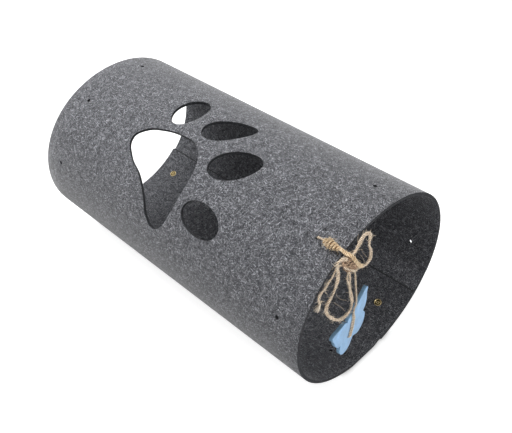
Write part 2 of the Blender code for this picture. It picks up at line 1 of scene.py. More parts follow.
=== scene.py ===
# %% [markdown]
# # A felt pet tunnel, dressed for its picture
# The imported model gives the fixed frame: every solid has its real place and size.
# This lesson puts the looks round it: heathered felt, jute twine with its plies and loose
# fibres, brass press studs and a blue felt butterfly.

# %% Load the frame and keep its box
import math
from functools import partial

import bmesh
import bpy
import numpy as np
from mathutils import Matrix, Vector


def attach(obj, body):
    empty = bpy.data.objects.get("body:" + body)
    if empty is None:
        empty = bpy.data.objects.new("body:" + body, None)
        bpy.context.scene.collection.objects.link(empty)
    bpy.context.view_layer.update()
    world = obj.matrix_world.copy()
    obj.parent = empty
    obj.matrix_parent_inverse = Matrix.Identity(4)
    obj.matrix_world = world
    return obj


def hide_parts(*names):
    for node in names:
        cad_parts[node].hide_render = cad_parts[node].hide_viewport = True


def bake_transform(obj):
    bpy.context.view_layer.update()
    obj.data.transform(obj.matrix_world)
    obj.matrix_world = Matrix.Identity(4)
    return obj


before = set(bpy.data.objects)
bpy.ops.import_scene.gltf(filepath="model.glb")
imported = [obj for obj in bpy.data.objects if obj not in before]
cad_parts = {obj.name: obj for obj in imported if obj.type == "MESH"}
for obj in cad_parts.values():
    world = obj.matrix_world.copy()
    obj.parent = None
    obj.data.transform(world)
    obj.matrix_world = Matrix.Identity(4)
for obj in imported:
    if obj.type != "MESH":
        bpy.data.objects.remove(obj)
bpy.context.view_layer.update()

print("solids in the frame:", len(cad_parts))

# %% [markdown]
# ## Real sizes
# The tube is 500 mm long and about 257 mm across, of felt 4 mm thick. Everything below is
# worked out from these lengths, in metres, so a change in one place carries through.

# %% Sizes of the tunnel and its twine
MM = 0.001
TINY = 0.001 * MM
TURN = 2 * math.pi
TUNNEL_LENGTH = 500 * MM
TUBE_RADIUS = 128.5 * MM
OVAL_SHARE = 0.06
OVAL_TILT = math.radians(6.6)
FLOOR_CUT = 2.6 * MM
FLOOR_ROUND = 0.7 * MM
FELT = 4.0 * MM
GAP = 0.3 * MM
LAP_EDGE_ARC = 26 * MM
LAP_WIDTH = 81 * MM
LAP_RISE = 16 * MM
LAP_REST = 8 * MM
PEEL_SETBACK = 12 * MM
TWINE = 2.2 * MM
print("tube, mm:", round(TUNNEL_LENGTH / MM), "long,", round(2 * TUBE_RADIUS / MM), "across")

# %% [markdown]
# ## The camera
# It stands above and to the right of the toy end and looks along the tube. Its place was
# found by fitting the tube's rims, holes and studs to the picture. A turn about the upright,
# a tilt down and a small roll aim it.

# %% Camera at the picture's viewing angle
CAMERA_PLACE = Vector((572.8, -476.8, 734.7)) * MM
CAMERA_TURN, CAMERA_HEIGHT, CAMERA_ROLL = 47.62, 41.08, -4.0
CAMERA_LENS = 48.7


def add_object(name, data):
    thing = bpy.data.objects.new(name, data)
    bpy.context.scene.collection.objects.link(thing)
    return thing


def make_camera():
    data = bpy.data.cameras.new("camera")
    data.lens, data.sensor_width = CAMERA_LENS, 36
    data.clip_start, data.clip_end = 0.01, 20
    aim = Matrix.Identity(4)
    for degrees, axis in ((CAMERA_TURN, "Z"), (90 - CAMERA_HEIGHT, "X"), (CAMERA_ROLL, "Z")):
        aim = aim @ Matrix.Rotation(math.radians(degrees), 4, axis)
    camera = add_object("camera", data)
    camera.matrix_world = Matrix.Translation(CAMERA_PLACE) @ aim
    bpy.context.scene.camera = camera
    return camera


camera = make_camera()
print("camera at, mm:", [round(value / MM) for value in camera.matrix_world.translation])

# %% [markdown]
# ## A place on the tube
# The wall isn't quite round: the felt sags into a shallow oval and lies flat where it rests.
# A table of the outer face, by arc from the top, turns places on the flat sheet into places
# in space. Straight runs and arcs would show as kinks in the rim, so one formula is used.

# %% Table of the tube's outer face
TABLE_POINTS = 2881


def tube_outline():
    turn = np.radians(np.linspace(90, 450, TABLE_POINTS))
    radius = TUBE_RADIUS * (1 + OVAL_SHARE * np.cos(2 * (turn - OVAL_TILT)))
    y = radius * np.cos(turn)
    z = radius * np.sin(turn)
    height = z - z.min() - FLOOR_CUT
    low = np.clip(height, -FLOOR_ROUND, FLOOR_ROUND)
    z = np.where(height > FLOOR_ROUND, height, (low + FLOOR_ROUND) ** 2 / (4 * FLOOR_ROUND))
    arc = np.concatenate([[0], np.cumsum(np.hypot(np.diff(y), np.diff(z)))])
    slope_y, slope_z = np.gradient(y, arc), np.gradient(z, arc)
    length = np.hypot(slope_y, slope_z)
    return {"arc": arc, "y": y, "z": z, "ny": slope_z / length, "nz": -slope_y / length, "turn": turn}


TUBE = tube_outline()
GIRTH = TUBE["arc"][-1]
REST_ARC = float(np.interp(math.radians(270), TUBE["turn"], TUBE["arc"]))
LAP_EDGE = REST_ARC + LAP_EDGE_ARC
LAP_END = LAP_EDGE + LAP_WIDTH
PEEL_LINE = LAP_END - GIRTH + PEEL_SETBACK
FLAP_EDGE = LAP_EDGE - GIRTH
print("girth, mm:", round(GIRTH / MM, 1), " flat sheet, mm:", round((LAP_END - FLAP_EDGE) / MM, 1))

# %% Helpers: from the flat sheet to the tube
def on_tube(places, inner_end=False):
    """Rolls flat places (along, arc, height) onto the tube."""
    along, arc, height = np.array(places, float).reshape(-1, 3).T
    if inner_end:
        share = np.clip((arc - REST_ARC - LAP_REST) / LAP_RISE, 0, 1)
        height = height - (FELT + GAP) * share * share * (3 - 2 * share)
    place = arc % GIRTH
    y, z, ny, nz = (np.interp(place, TUBE["arc"], TUBE[key]) for key in ("y", "z", "ny", "nz"))
    return np.stack([along, y + ny * height, z + nz * height], axis=1)


def tube_point(along, arc, height=0.0):
    return Vector(on_tube([(along, arc, height)])[0])


def tube_frame(along, arc):
    """A frame on the outer face: its Z points outward and its X along the tube."""
    foot = tube_point(along, arc)
    out = (tube_point(along, arc, FELT) - foot).normalized()
    side = out.cross(Vector((1, 0, 0)))
    turn = Matrix((Vector((1, 0, 0)), side, out)).transposed()
    return Matrix.Translation(foot) @ turn.to_4x4()


print("top of the tube, mm:", [round(value / MM, 1) for value in tube_point(0, 0)])

# %% [markdown]
# ## Small helpers
# One function turns a hex colour to Blender's linear light. One adds a shader node with its
# settings and links, and the same filling of sockets serves a material's own shader. One turns
# a finished bmesh into a piece at the origin with its materials, hangs it on the body that it
# rides on and hides the solids that it stands for.

# %% Helpers: colour and nodes
COLOURS = {"data_type": "RGBA"}
TINT = {"data_type": "RGBA", "blend_type": "MULTIPLY"}
SMOOTH = {"interpolation_type": "SMOOTHSTEP"}
TIMES, PLUS, LARGER, SMALLER = ({"operation": word} for word in ("MULTIPLY", "ADD", "MAXIMUM", "MINIMUM"))


def colour(code):
    """An sRGB hex colour as linear light."""
    shares = [int(code[place:place + 2], 16) / 255 for place in (1, 3, 5)]
    return tuple(s / 12.92 if s <= 0.04045 else ((s + 0.055) / 1.055) ** 2.4 for s in shares) + (1.0,)


def fill_sockets(material, node, inputs):
    """An input is a value, an output, or a node with one output in use. in2 is input number 2."""
    for key, value in inputs.items():
        name = int(key[2:]) if key[:2] == "in" and key[2:].isdigit() else key.replace("_", " ")
        if isinstance(value, bpy.types.Node):
            value = next(output for output in value.outputs if output.enabled)
        if isinstance(value, bpy.types.NodeSocket):
            material.node_tree.links.new(value, node.inputs[name])
        else:
            node.inputs[name].default_value = value


def add_node(material, kind, settings=None, **inputs):
    """Adds a node with its settings, values and links."""
    node = material.node_tree.nodes.new("ShaderNode" + kind)
    for key, value in (settings or {}).items():
        setattr(node, key, value)
    fill_sockets(material, node, inputs)
    return node


def new_material(name):
    material = bpy.data.materials.new(name)
    material.use_nodes = True
    return material


def finish_material(material, **inputs):
    """Fills the sockets of the material's own shader."""
    fill_sockets(material, material.node_tree.nodes["Principled BSDF"], inputs)
    return material


print("mid grey as linear light:", round(colour("#808080")[0], 3))

# %% Helper: a finished piece
def finish_piece(name, cells, materials, body=None, nodes=(), sharp_angle=None):
    """Makes the piece, at the origin, with its place in its mesh."""
    mesh = bpy.data.meshes.new(name)
    cells.to_mesh(mesh)
    cells.free()
    for material in materials:
        mesh.materials.append(material)
    mesh.shade_smooth()
    if sharp_angle is not None:
        mesh.set_sharp_from_angle(angle=math.radians(sharp_angle))
    piece = add_object(name, mesh)
    if body:
        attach(piece, body)
    if nodes:
        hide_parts(*nodes)
    mesh.calc_loop_triangles()
    print(name, "triangles:", len(mesh.loop_triangles))
    return piece


# %% [markdown]
# ## Jute twine, the material
# Jute is a dull plant fibre, spun in plies and twisted. Light catches the crown of each ply
# and little reaches the crease between two, and that shade is painted: the crease colour is
# darker, as painted shade. The fibres run as fine streaks along the twist. The twine's UV holds
# metres along it, and plies round it, so both patterns follow it.

# %% Jute twine
STREAK_LONG, STREAK_WIDE_SHARE = 5.0 * MM, 0.16
BLOTCH_LONG = 9 * MM


def jute_material(name, crown, crease, light, dark):
    """Three-ply jute: the crown colour, the darker crease colour that is painted shade, and those of the light and dark
    fibres.
    """
    material = new_material(name)
    add = partial(add_node, material)
    place = add("TexCoord").outputs["UV"]
    ply = add("SeparateXYZ", Vector=place).outputs["Y"]
    depth = add("Math", {"operation": "PINGPONG"}, in0=ply, in1=0.5)
    rise = add("MapRange", SMOOTH, Value=depth, From_Min=0.02, From_Max=0.42)
    along = add("Mapping", Vector=place, Scale=(1 / STREAK_LONG, 1 / STREAK_WIDE_SHARE, 1))
    streak = add("TexNoise", Vector=along, Scale=1.0, Detail=3.0)
    stretch = add("Mapping", Vector=place, Scale=(1 / BLOTCH_LONG, 0.4, 1))
    blotch = add("TexNoise", Vector=stretch, Scale=1.0, Detail=2.0)
    # The crease colour mixed in here is painted shade between the plies.
    tone = add("Mix", COLOURS, in0=rise, in6=colour(crease), in7=colour(crown))
    for low, high, most, code in ((0.50, 0.70, 0.75, light), (0.46, 0.30, 0.55, dark)):
        share = add("MapRange", Value=streak, From_Min=low, From_Max=high, To_Max=most)
        tone = add("Mix", COLOURS, in0=share, in6=tone, in7=colour(code))
    patch = add("MapRange", Value=blotch, From_Min=0.3, From_Max=0.7, To_Min=0.74, To_Max=1.22)
    toned = add("Mix", TINT, in0=1.0, in6=tone, in7=patch)
    height = add("Math", PLUS, in0=rise, in1=streak)
    bump = add("Bump", Height=height, Distance=0.25 * MM, Strength=0.6)
    return finish_material(material, Base_Color=toned, Normal=bump, Roughness=0.85,
                           Specular_IOR_Level=0.25, Sheen_Weight=0.25, Sheen_Roughness=0.4)


JUTE = jute_material("spun_jute_twine", "#fbe9cf", "#93704c", "#fffcf4", "#c09a72")
GOLDEN_JUTE = jute_material("golden_jute_twine", "#fae2ba", "#a0744a", "#fff8e4", "#c49a68")
# Darker brown jute for the knot's band and fill: painted shade of the knot's hollow.
SHADED_KNOT_JUTE = jute_material("knot_jute_with_painted_shade", "#c2a48a", "#5c4838", "#dcc2a4", "#8a6e56")
PALE_JUTE = jute_material("combed_jute_fibre", "#fff2de", "#dcc09c", "#fffaf2", "#e0c6a2")
DARK_JUTE = jute_material("shaded_jute_twine", "#bc905c", "#7e5a34", "#cca46e", "#96704a")
print("jute streak, mm:", round(STREAK_LONG / MM, 1))

# %% [markdown]
# ## Jute twine, the shape
# Each strand is a ring drawn along a smooth route. The ring is the outline of three soft
# plies side by side, and it turns a little at every step, so the plies wind round each other.
# Its width wanders a little, as the spinner's feed does.

# %% Helpers: even points on a smooth route
STRAND_STEP = 0.6 * MM
CURVE_STEPS = 16


def unit(rows):
    return rows / np.linalg.norm(rows, axis=1)[:, None]


def run_along(points):
    """The distance of each point from the first, along the route."""
    steps = np.linalg.norm(np.diff(np.array(points), axis=0), axis=1)
    return np.concatenate([[0], np.cumsum(steps)])


def smooth_route(points):
    """Points one step apart, on a smooth curve through the given ones."""
    knots = np.array([tuple(point) for point in points], float)
    ahead = np.vstack([2 * knots[0] - knots[1], knots, 2 * knots[-1] - knots[-2]])
    fine = []
    for index in range(1, len(ahead) - 2):
        before, start, end, after = ahead[index - 1:index + 3]
        for share in np.linspace(0, 1, CURVE_STEPS, endpoint=False):
            fine.append(0.5 * (2 * start + (end - before) * share
                               + (2 * before - 5 * start + 4 * end - after) * share ** 2
                               + (3 * start - before - 3 * end + after) * share ** 3))
    fine = np.array(fine + [knots[-1]])
    run = run_along(fine)
    places = np.linspace(0, run[-1], max(3, round(run[-1] / STRAND_STEP) + 1))
    return np.stack([np.interp(places, run, fine[:, axis]) for axis in range(3)], axis=1)


def route_frames(points):
    """Heading, side and up at each point, without sudden turns."""
    headings = unit(np.gradient(np.array(points), axis=0))
    side = np.cross(headings[0], (0.13, 0.27, 0.95))
    sides = []
    for heading in headings:
        side = side - heading * (side @ heading)
        side = side / np.linalg.norm(side)
        sides.append(side)
    sides = np.array(sides)
    return headings, sides, np.cross(headings, sides)


print("points a twine's width:", round(TWINE / STRAND_STEP, 1))

# %% Helper: one strand of twine
PLIES = 3
SIDES_A_PLY = 5
PLY_SHARE = 0.58
LAY = 11.5 * MM
WIDTH_SHARE = 0.09
WANDER_STEPS = 9


def ply_ring():
    """The ring's radius at each side, as shares: crowns at 1 and creases between them."""
    place = np.arange(PLIES * SIDES_A_PLY) % SIDES_A_PLY
    turn = (place / SIDES_A_PLY - 0.5) * TURN / PLIES
    away = 1 - PLY_SHARE
    return away * np.cos(turn) + np.sqrt(PLY_SHARE ** 2 - (away * np.sin(turn)) ** 2)


def wander(count, smooth, chance):
    """Slow random values between about -1 and 1."""
    rough = chance.normal(size=count + 2 * smooth)
    kernel = np.hanning(smooth + 2)[1:-1]
    slow = np.convolve(rough, kernel / np.sqrt((kernel ** 2).sum()), "same")
    return np.clip(slow[smooth:smooth + count], -1.6, 1.6)


def lay_strand(cells, points, radius, chance, widths=None):
    """A twisted strand along the points, from a grid bent into a tube."""
    uv = cells.loops.layers.uv.verify()
    points = np.array(points)
    steps, sides = len(points) - 1, PLIES * SIDES_A_PLY
    run = run_along(points)
    _, side, up = route_frames(points)
    made = bmesh.ops.create_grid(cells, x_segments=steps, y_segments=sides, size=0.5, calc_uvs=True)
    for face in {face for vert in made["verts"] for face in vert.link_faces}:
        for loop in face.loops:
            loop[uv].uv = (loop[uv].uv.x * run[-1], loop[uv].uv.y * PLIES)
    width = radius * (1 + WIDTH_SHARE * wander(steps + 1, WANDER_STEPS, chance))
    if widths is not None:
        width = width * np.interp(run, np.linspace(0, run[-1], len(widths)), widths)
    ring = ply_ring()
    turn = TURN * (np.arange(sides)[None] / sides + run[:, None] / LAY)
    spoke = side[:, None] * np.cos(turn)[..., None] + up[:, None] * np.sin(turn)[..., None]
    table = points[:, None] + spoke * (width[:, None] * ring[None])[..., None]
    for vert in made["verts"]:
        row, column = round((vert.co.x + 0.5) * steps), round((vert.co.y + 0.5) * sides)
        vert.co = table[row, column % sides]
    bmesh.ops.remove_doubles(cells, verts=made["verts"], dist=TINY / 2)
    rims = [edge for edge in cells.edges if edge.is_boundary]
    bmesh.ops.holes_fill(cells, edges=rims, sides=0)


print("sides of a strand:", PLIES * SIDES_A_PLY)

# %% [markdown]
# Loose fibres stand out all over jute and give it its soft outline. One small three-sided
# hair is modelled, then copied, and each copy is bent and placed from the strand it leaves.
# A real fibre is too fine to show in the render, so the hairs are drawn about 0.3 mm wide.

# %% Helper: loose fibres
HAIR_STEPS, HAIR_SIDES = 4, 3
HAIR_RADIUS = 0.17 * MM
HAIR_REACH = 2.2 * MM
HAIRS_PER_MM = 1.8
HAIR_MARGIN = 5
BACKWARD_SHARE = 0.35
LOWEST_SLOPE = 0.25
ASIDE = 0.5
HAIR_BEND, BEND_LIMIT = 0.22, 0.5
ROOT_SHARE = 0.7
SHORTEST_SHARE, LENGTH_POWER = 0.1, 1.5
HAIR_TAPER = 0.6
TONE_SPREAD = 0.2


def hair_template():
    cells = bmesh.new()
    cells.loops.layers.uv.verify()
    made = bmesh.ops.create_grid(cells, x_segments=HAIR_STEPS, y_segments=HAIR_SIDES, size=0.5, calc_uvs=True)
    for vert in made["verts"]:
        turn = TURN * round((vert.co.y + 0.5) * HAIR_SIDES) / HAIR_SIDES
        vert.co = (vert.co.x + 0.5, math.cos(turn), math.sin(turn))
    bmesh.ops.remove_doubles(cells, verts=cells.verts, dist=0.001)
    bmesh.ops.holes_fill(cells, edges=[edge for edge in cells.edges if edge.is_boundary], sides=0)
    bmesh.ops.recalc_face_normals(cells, faces=cells.faces)
    mesh = bpy.data.meshes.new("hair")
    cells.to_mesh(mesh)
    cells.free()
    return mesh


def grow_hairs(strands, chance, per_mm, reach):
    """Roots, ways, bends and lengths of the fibres on the strands."""
    roots, ways, bends, lengths = [], [], [], []
    for points, radius in strands:
        points = np.array(points)
        headings, side, up = route_frames(points)
        count = int(run_along(points)[-1] / MM * per_mm)
        place = chance.integers(HAIR_MARGIN, len(points) - HAIR_MARGIN, size=count)
        turn = chance.uniform(0, TURN, size=count)[:, None]
        out = side[place] * np.cos(turn) + up[place] * np.sin(turn)
        slope = chance.uniform(LOWEST_SLOPE, 1.0, size=count)[:, None]
        ahead = chance.choice([-1, 1], size=count, p=[BACKWARD_SHARE, 1 - BACKWARD_SHARE])[:, None]
        way = headings[place] * ahead + out * slope
        way = unit(way + np.cross(headings[place], out) * chance.normal(0, ASIDE, size=count)[:, None])
        bend = np.clip(chance.normal(0, HAIR_BEND, size=(count, 3)), -BEND_LIMIT, BEND_LIMIT)
        whole = way + bend
        across = whole - headings[place] * (whole * headings[place]).sum(axis=1)[:, None]
        length = np.minimum(reach / np.linalg.norm(across, axis=1), reach * 2)
        roots.append(points[place] + out * radius * ROOT_SHARE)
        ways.append(way)
        bends.append(bend)
        lengths.append(length * chance.uniform(SHORTEST_SHARE, 1, size=count) ** LENGTH_POWER)
    return np.vstack(roots), np.vstack(ways), np.vstack(bends), np.concatenate(lengths)


def lay_hairs(cells, roots, ways, bends, lengths, chance, radius=HAIR_RADIUS):
    """Adds a copy of the hair for each root, bent and placed."""
    template = hair_template()
    shape = np.array([tuple(vert.co) for vert in template.vertices])
    copies = bmesh.new()
    for _ in range(len(lengths)):
        copies.from_mesh(template)
    mesh = bpy.data.meshes.new("hairs")
    copies.to_mesh(mesh)
    copies.free()
    share = shape[:, 0][None, :, None]
    side = unit(np.cross(ways, chance.normal(size=ways.shape)))
    up = np.cross(ways, side)
    path = roots[:, None] + (ways[:, None] * share + bends[:, None] * share ** 2) * lengths[:, None, None]
    ring = side[:, None] * shape[:, 1][None, :, None] + up[:, None] * shape[:, 2][None, :, None]
    mesh.vertices.foreach_set("co", (path + ring * radius * (1 - HAIR_TAPER * share)).reshape(-1))
    tones = np.repeat(chance.uniform(0, TONE_SPREAD, size=len(lengths)), len(template.loops))
    uvs = np.stack([tones, np.full(len(tones), 0.5)], axis=1)
    mesh.uv_layers[0].data.foreach_set("uv", uvs.reshape(-1))
    mesh.update()
    cells.from_mesh(mesh)
    for spent in (template, mesh):
        bpy.data.meshes.remove(spent)


def twine_piece(name, strands, seed, nodes, body="tunnel", material=JUTE, per_mm=HAIRS_PER_MM, reach=HAIR_REACH):
    """Strands of points, radius and perhaps widths, with their loose fibres, as one piece."""
    chance = np.random.default_rng(seed)
    cells = bmesh.new()
    for points, radius, *widths in strands:
        lay_strand(cells, points, radius, chance, *widths)
    bmesh.ops.recalc_face_normals(cells, faces=cells.faces)
    lay_hairs(cells, *grow_hairs([strand[:2] for strand in strands], chance, per_mm, reach), chance)
    return finish_piece(name, cells, [material], body, nodes)


print("fibres on 100 mm of twine:", round(100 * HAIRS_PER_MM))

# %% [markdown]
# ## The bow's loops and tail
# The routes are those that the frame's own solids follow, so the twine lies where they are.
# The loops are limp, and each goes back into the knot.

# %% Routes of the free stretches, in mm
UPPER_LOOP = (
    (260, -61.5, 217.4), (260, -62.1, 221.2), (260, -60.8, 224.8), (259.8, -57.0, 226.4), (259.2, -53.2, 227.0),
    (258.6, -49.4, 229.2), (258.2, -45.0, 233.0), (258, -40, 236.8), (258, -34.6, 237.4), (258, -30, 234.6),
    (258, -27.6, 229.6), (258, -28.2, 223.6), (258, -28.6, 217.6), (258, -26.6, 211), (258, -24.6, 204.4),
    (258, -24.2, 197.8), (258, -26.0, 192.4), (258, -30.2, 189.9), (258, -36, 191.0), (258, -42, 193.9),
    (258.2, -48.2, 196.6), (258.8, -53.8, 199.4), (259.5, -57.6, 203.2), (260, -59.4, 207.6), (260, -60.4, 211.6),
    (260, -61.1, 215.4),
)
LOWER_LOOP = (
    (260, -65.7, 216.6), (260, -66.4, 220.4), (259.8, -67.8, 224.4), (259.2, -71.4, 227.8), (258.4, -75.8, 229.0),
    (257.6, -79.4, 227.4), (257.1, -80.9, 223.0), (257, -80.0, 217.4), (257, -78.6, 211), (257, -78.6, 203.8),
    (257, -80.8, 195.6), (257, -85.2, 186.6), (257, -91, 180.6), (257, -95.8, 174.6), (257, -97, 167.6),
    (257, -94.6, 159.6), (257, -88.8, 149.4), (257, -82, 140.4), (257, -74, 133), (257, -66.4, 129.8),
    (257, -59.6, 130.6), (257, -54.4, 134), (257, -52.2, 140), (257, -52.6, 148.6), (257, -55.0, 160.4),
    (257.2, -57.8, 171.4), (257.8, -60.2, 181.4), (258.8, -62.4, 190), (259.6, -64.0, 197.4), (260, -64.6, 203.8),
    (260, -64.6, 209.4), (260, -65.2, 214.4),
)
TAIL = (
    (255.0, -70.0, 214.6), (253.4, -72.6, 214.4), (252.6, -76.2, 212.6), (252.4, -79.4, 208.6), (252.3, -82.6, 204.6),
    (252.2, -87, 201.8), (252.2, -91, 198.4), (252.2, -95, 195.6), (252.2, -100.2, 193.6), (252.2, -103.6, 190.4),
    (252.2, -104.0, 185.0), (252.2, -101.8, 178.6), (252.4, -103.4, 173.6), (252.6, -107.6, 171.0),
)
TOY_LEAD = (
    (252.8, -58.6, 209.2), (252.2, -53.0, 205.6), (251.2, -47.4, 200.4), (250.1, -42.8, 194.6), (249.4, -40.2, 188.4),
)
STRING_TOP = Vector((249.2, -39.6, 182.5)) * MM
STRING_MIDDLE = Vector((250.0, -34.9, 136.0)) * MM
STRING_FOOT = Vector((250.9, -38.8, 115.0)) * MM


def in_metres(route):
    return [Vector(point) * MM for point in route]


def even_route(route):
    return smooth_route(in_metres(route))


print("points on the lower loop:", len(LOWER_LOOP))

# %% [markdown]
# The loops are twine laid double: two strands side by side that roll a little to and fro and
# part near the knot. The tail is one strand. Its cut end opens into a tuft, which is a sheaf of
# the same hairs combed forward.

# %% Loops and tail
BOW_APART = 2.0 * MM
BOW_LAY = 37 * MM
BOW_ROLL = 0.6
SPLIT_FROM_END = 22 * MM
SPLIT_LONG = 9 * MM
SPLIT_SHARE = 0.6
CORD_HAIR_REACH = 1.8 * MM
TUFT_HAIRS = 190
TUFT_SPREAD, TUFT_BEND = 0.15, 0.14
TUFT_ROOTS = 0.5 * MM
TUFT_SHORT, TUFT_LONG = 4.0, 9.5
TUFT_HAIR_RADIUS = HAIR_RADIUS * 1.8
TUFT_WIDTHS = (1.05, 1.25, 1.4, 1.4, 1.25, 1.1)


def laid_double(points):
    """Two strands side by side in the bow's plane, that part a little near their end."""
    headings, _, _ = route_frames(points)
    side = unit(np.cross(headings, (1, 0, 0)))
    run = run_along(points)
    turn = (BOW_ROLL * np.sin(TURN * run / BOW_LAY))[:, None]
    wide = 1 + SPLIT_SHARE * np.exp(-((run[-1] - run - SPLIT_FROM_END) / SPLIT_LONG) ** 2)[:, None]
    spoke = (side * np.cos(turn) + np.cross(headings, side) * np.sin(turn)) * wide * BOW_APART / 2
    return [(points + spoke, TWINE / 2), (points - spoke, TWINE / 2)]


def make_loop(name, route, seed, node):
    points = even_route(route)
    piece = twine_piece(name, laid_double(points), seed, [node], reach=CORD_HAIR_REACH)


def frayed_end(name, end, way, seed):
    """The tuft that a cut end of jute opens into."""
    chance = np.random.default_rng(seed)
    size = (TUFT_HAIRS, 3)
    ways = unit(way + chance.normal(0, TUFT_SPREAD, size))
    cells = bmesh.new()
    lay_hairs(cells, end + chance.normal(0, TUFT_ROOTS, size), ways, chance.normal(0, TUFT_BEND, size),
              chance.uniform(TUFT_SHORT, TUFT_LONG, TUFT_HAIRS) * MM, chance, TUFT_HAIR_RADIUS)
    return finish_piece(name, cells, [PALE_JUTE], "tunnel")


def make_tail():
    """The strand stops two points short of its route's end, and the tuft fills the rest."""
    points = even_route(TAIL[:-2])
    widths = np.ones(len(points))
    widths[-len(TUFT_WIDTHS):] = TUFT_WIDTHS
    way = np.array(TAIL[-1]) * MM - points[-1]
    tuft = frayed_end("bow_tail_twine_fray", points[-1], way / np.linalg.norm(way), 113)
    piece = twine_piece("bow_tail_twine", [(points, TWINE / 2, widths)], 13, ["bow_tail"],
                        reach=CORD_HAIR_REACH)


make_loop("bow_upper_loop_twine", UPPER_LOOP, 11, "bow_upper_loop")
make_loop("bow_lower_loop_twine", LOWER_LOOP, 12, "bow_lower_loop")
make_tail()

# %% [markdown]
# ## Rim tie, winding and knot
# The twine goes out over the wall, down through a lacing hole and back inside. Its own end is
# wound round it in six uneven turns that swell and taper. The bow's band is three turns round
# the roots of its loops. A pair of strands lies over the band, and one of them goes on as the
# winding. Short strands fill the knot, where the real one shows brown fibre. The band and these
# strands are a darker brown jute, which is painted shade of the knot's hollow.

# %% Sizes of the winding and the knot
HOLES_ROUND = 8
HOLE_DIAMETER = 5.0 * MM
HOLE_SETBACK = 35 * MM
FIRST_HOLE_ARC = -36 * MM
TWINE_HOLE = 1
HOLE_SIDES = 12
HOLE_PITCH = GIRTH / HOLES_ROUND
HOLE_X = TUNNEL_LENGTH / 2 - HOLE_SETBACK
TIE_ARC = FIRST_HOLE_ARC + TWINE_HOLE * HOLE_PITCH
WRAP_TURNS = 6
WRAP_PITCH = 3.4 * MM
WRAP_RADIUS = 1.7 * MM
WRAP_SWELL = 2.9 * MM
WRAP_SWELL_POWER = 1.35
WIDTH_UNEVEN, PITCH_UNEVEN = 0.05, 0.08
WIDTH_BEAT, PITCH_BEAT = 2.3, 1.7
WRAP_START = TUNNEL_LENGTH / 2 - 3.4 * MM
WRAP_WIDTH = 2.3 * MM
TIE_HEIGHT = WRAP_RADIUS + WRAP_SWELL + TWINE / 2 + GAP
CORE_RADIUS = WRAP_RADIUS - WRAP_WIDTH * 0.3
CORE_SHARES = (-0.12, 0.04, 0.3, 0.5, 0.7, 0.95)
CORE_WIDTH_SHARES = (-0.12, 0.1, 0.3, 0.5, 0.7, 0.8, 0.95)
LOOP_POINTS = 24
KNOT_TURNS = 3
KNOT_PITCH = 3.4 * MM
KNOT_RADIUS = 6.4 * MM
KNOT_CENTRE = Vector((260.0, -63.4, 216.0)) * MM
KNOT_AXIS = Vector((0, -0.20, 0.98)).normalized()
KNOT_WIDTH = 3.4 * MM
OVER_APART = 2.1 * MM
FILL_RADIUS = TWINE * 0.62
OVER_FACES = Vector((0.43, -0.56, 0.71))
print("lacing pitch, mm:", round(HOLE_PITCH / MM, 1))

# %% Routes in the knot, in mm
TIE_ROOT = ((257.8, -63.9, 221.0), (256.8, -63.6, 224.2))
OVER_STRAND = (
    (260.4, -41.6, 196.8), (263.9, -48.4, 204.3), (266.6, -54.2, 210.5), (267.8, -59.2, 217.0), (266.8, -62.6, 223.4),
    (263.6, -63.8, 228.2), (259.6, -64.6, 229.8), (255.6, -64.6, 228.6),
)
UNDER_STRAND = (
    (260.5, -73.6, 218.2), (264.9, -71.0, 216.2), (267.6, -66.2, 212.9), (267.2, -60.0, 209.4), (264.6, -53.6, 206.4),
    (261.2, -47.0, 200.6),
)
KNOT_FILL = (
    ((261.2, -70.6, 220.6), (262.2, -67.6, 224.0), (263.0, -63.8, 224.2), (263.0, -60.2, 221.4), (262.4, -57.6, 216.6)),
    ((263.4, -69.4, 218.2), (264.8, -66.8, 221.6), (265.6, -63.4, 221.6), (265.4, -60.0, 218.4), (264.4, -58.2, 214.0)),
    ((258.8, -70.0, 222.6), (259.6, -66.4, 225.4), (260.2, -62.8, 225.2), (260.2, -59.6, 222.4), (260.0, -57.8, 218.0)),
)
print("strands that fill the knot:", len(KNOT_FILL))

# %% Rim tie, winding and knot
def rim_tie_points():
    """From inside the band, out over the wall, down the hole and back under the wall."""
    rim_x = TUNNEL_LENGTH / 2
    over, under = TIE_HEIGHT, -FELT - TWINE / 2 - GAP
    wrap_end = WRAP_START - WRAP_TURNS * WRAP_PITCH
    bore_x = HOLE_X + (HOLE_DIAMETER / 2 * math.cos(math.pi / HOLE_SIDES) - TWINE / 2 - GAP)
    places = (
        (rim_x + TWINE * 2.0, over * 0.1), (rim_x + TWINE * 1.2, over * 0.55), (rim_x + TWINE * 0.3, over * 0.9),
        (WRAP_START + TWINE * 0.7, over), (WRAP_START, over), ((WRAP_START + wrap_end) / 2, over),
        (wrap_end, over), (wrap_end - TWINE * 0.6, over), (HOLE_X + TWINE * 1.5, over - TWINE * 0.4),
        (bore_x + TWINE * 0.3, TWINE * 0.6), (bore_x, -FELT / 2), (bore_x + TWINE * 0.2, -FELT - TWINE * 0.45),
        (HOLE_X + TWINE * 1.0, under - TWINE * 0.1), (HOLE_X + TWINE * 1.8, under), (HOLE_X + TWINE * 4, under),
        (rim_x - TWINE * 3, under), (rim_x + TWINE * 0.95, under),
    )
    return smooth_route(in_metres(TIE_ROOT) + [tube_point(x, TIE_ARC, height) for x, height in places])


def wrap_radius(share):
    """The winding's radius at a share of its length, fattest past the middle."""
    return WRAP_RADIUS + WRAP_SWELL * math.sin(math.pi * max(share, 0) ** WRAP_SWELL_POWER)


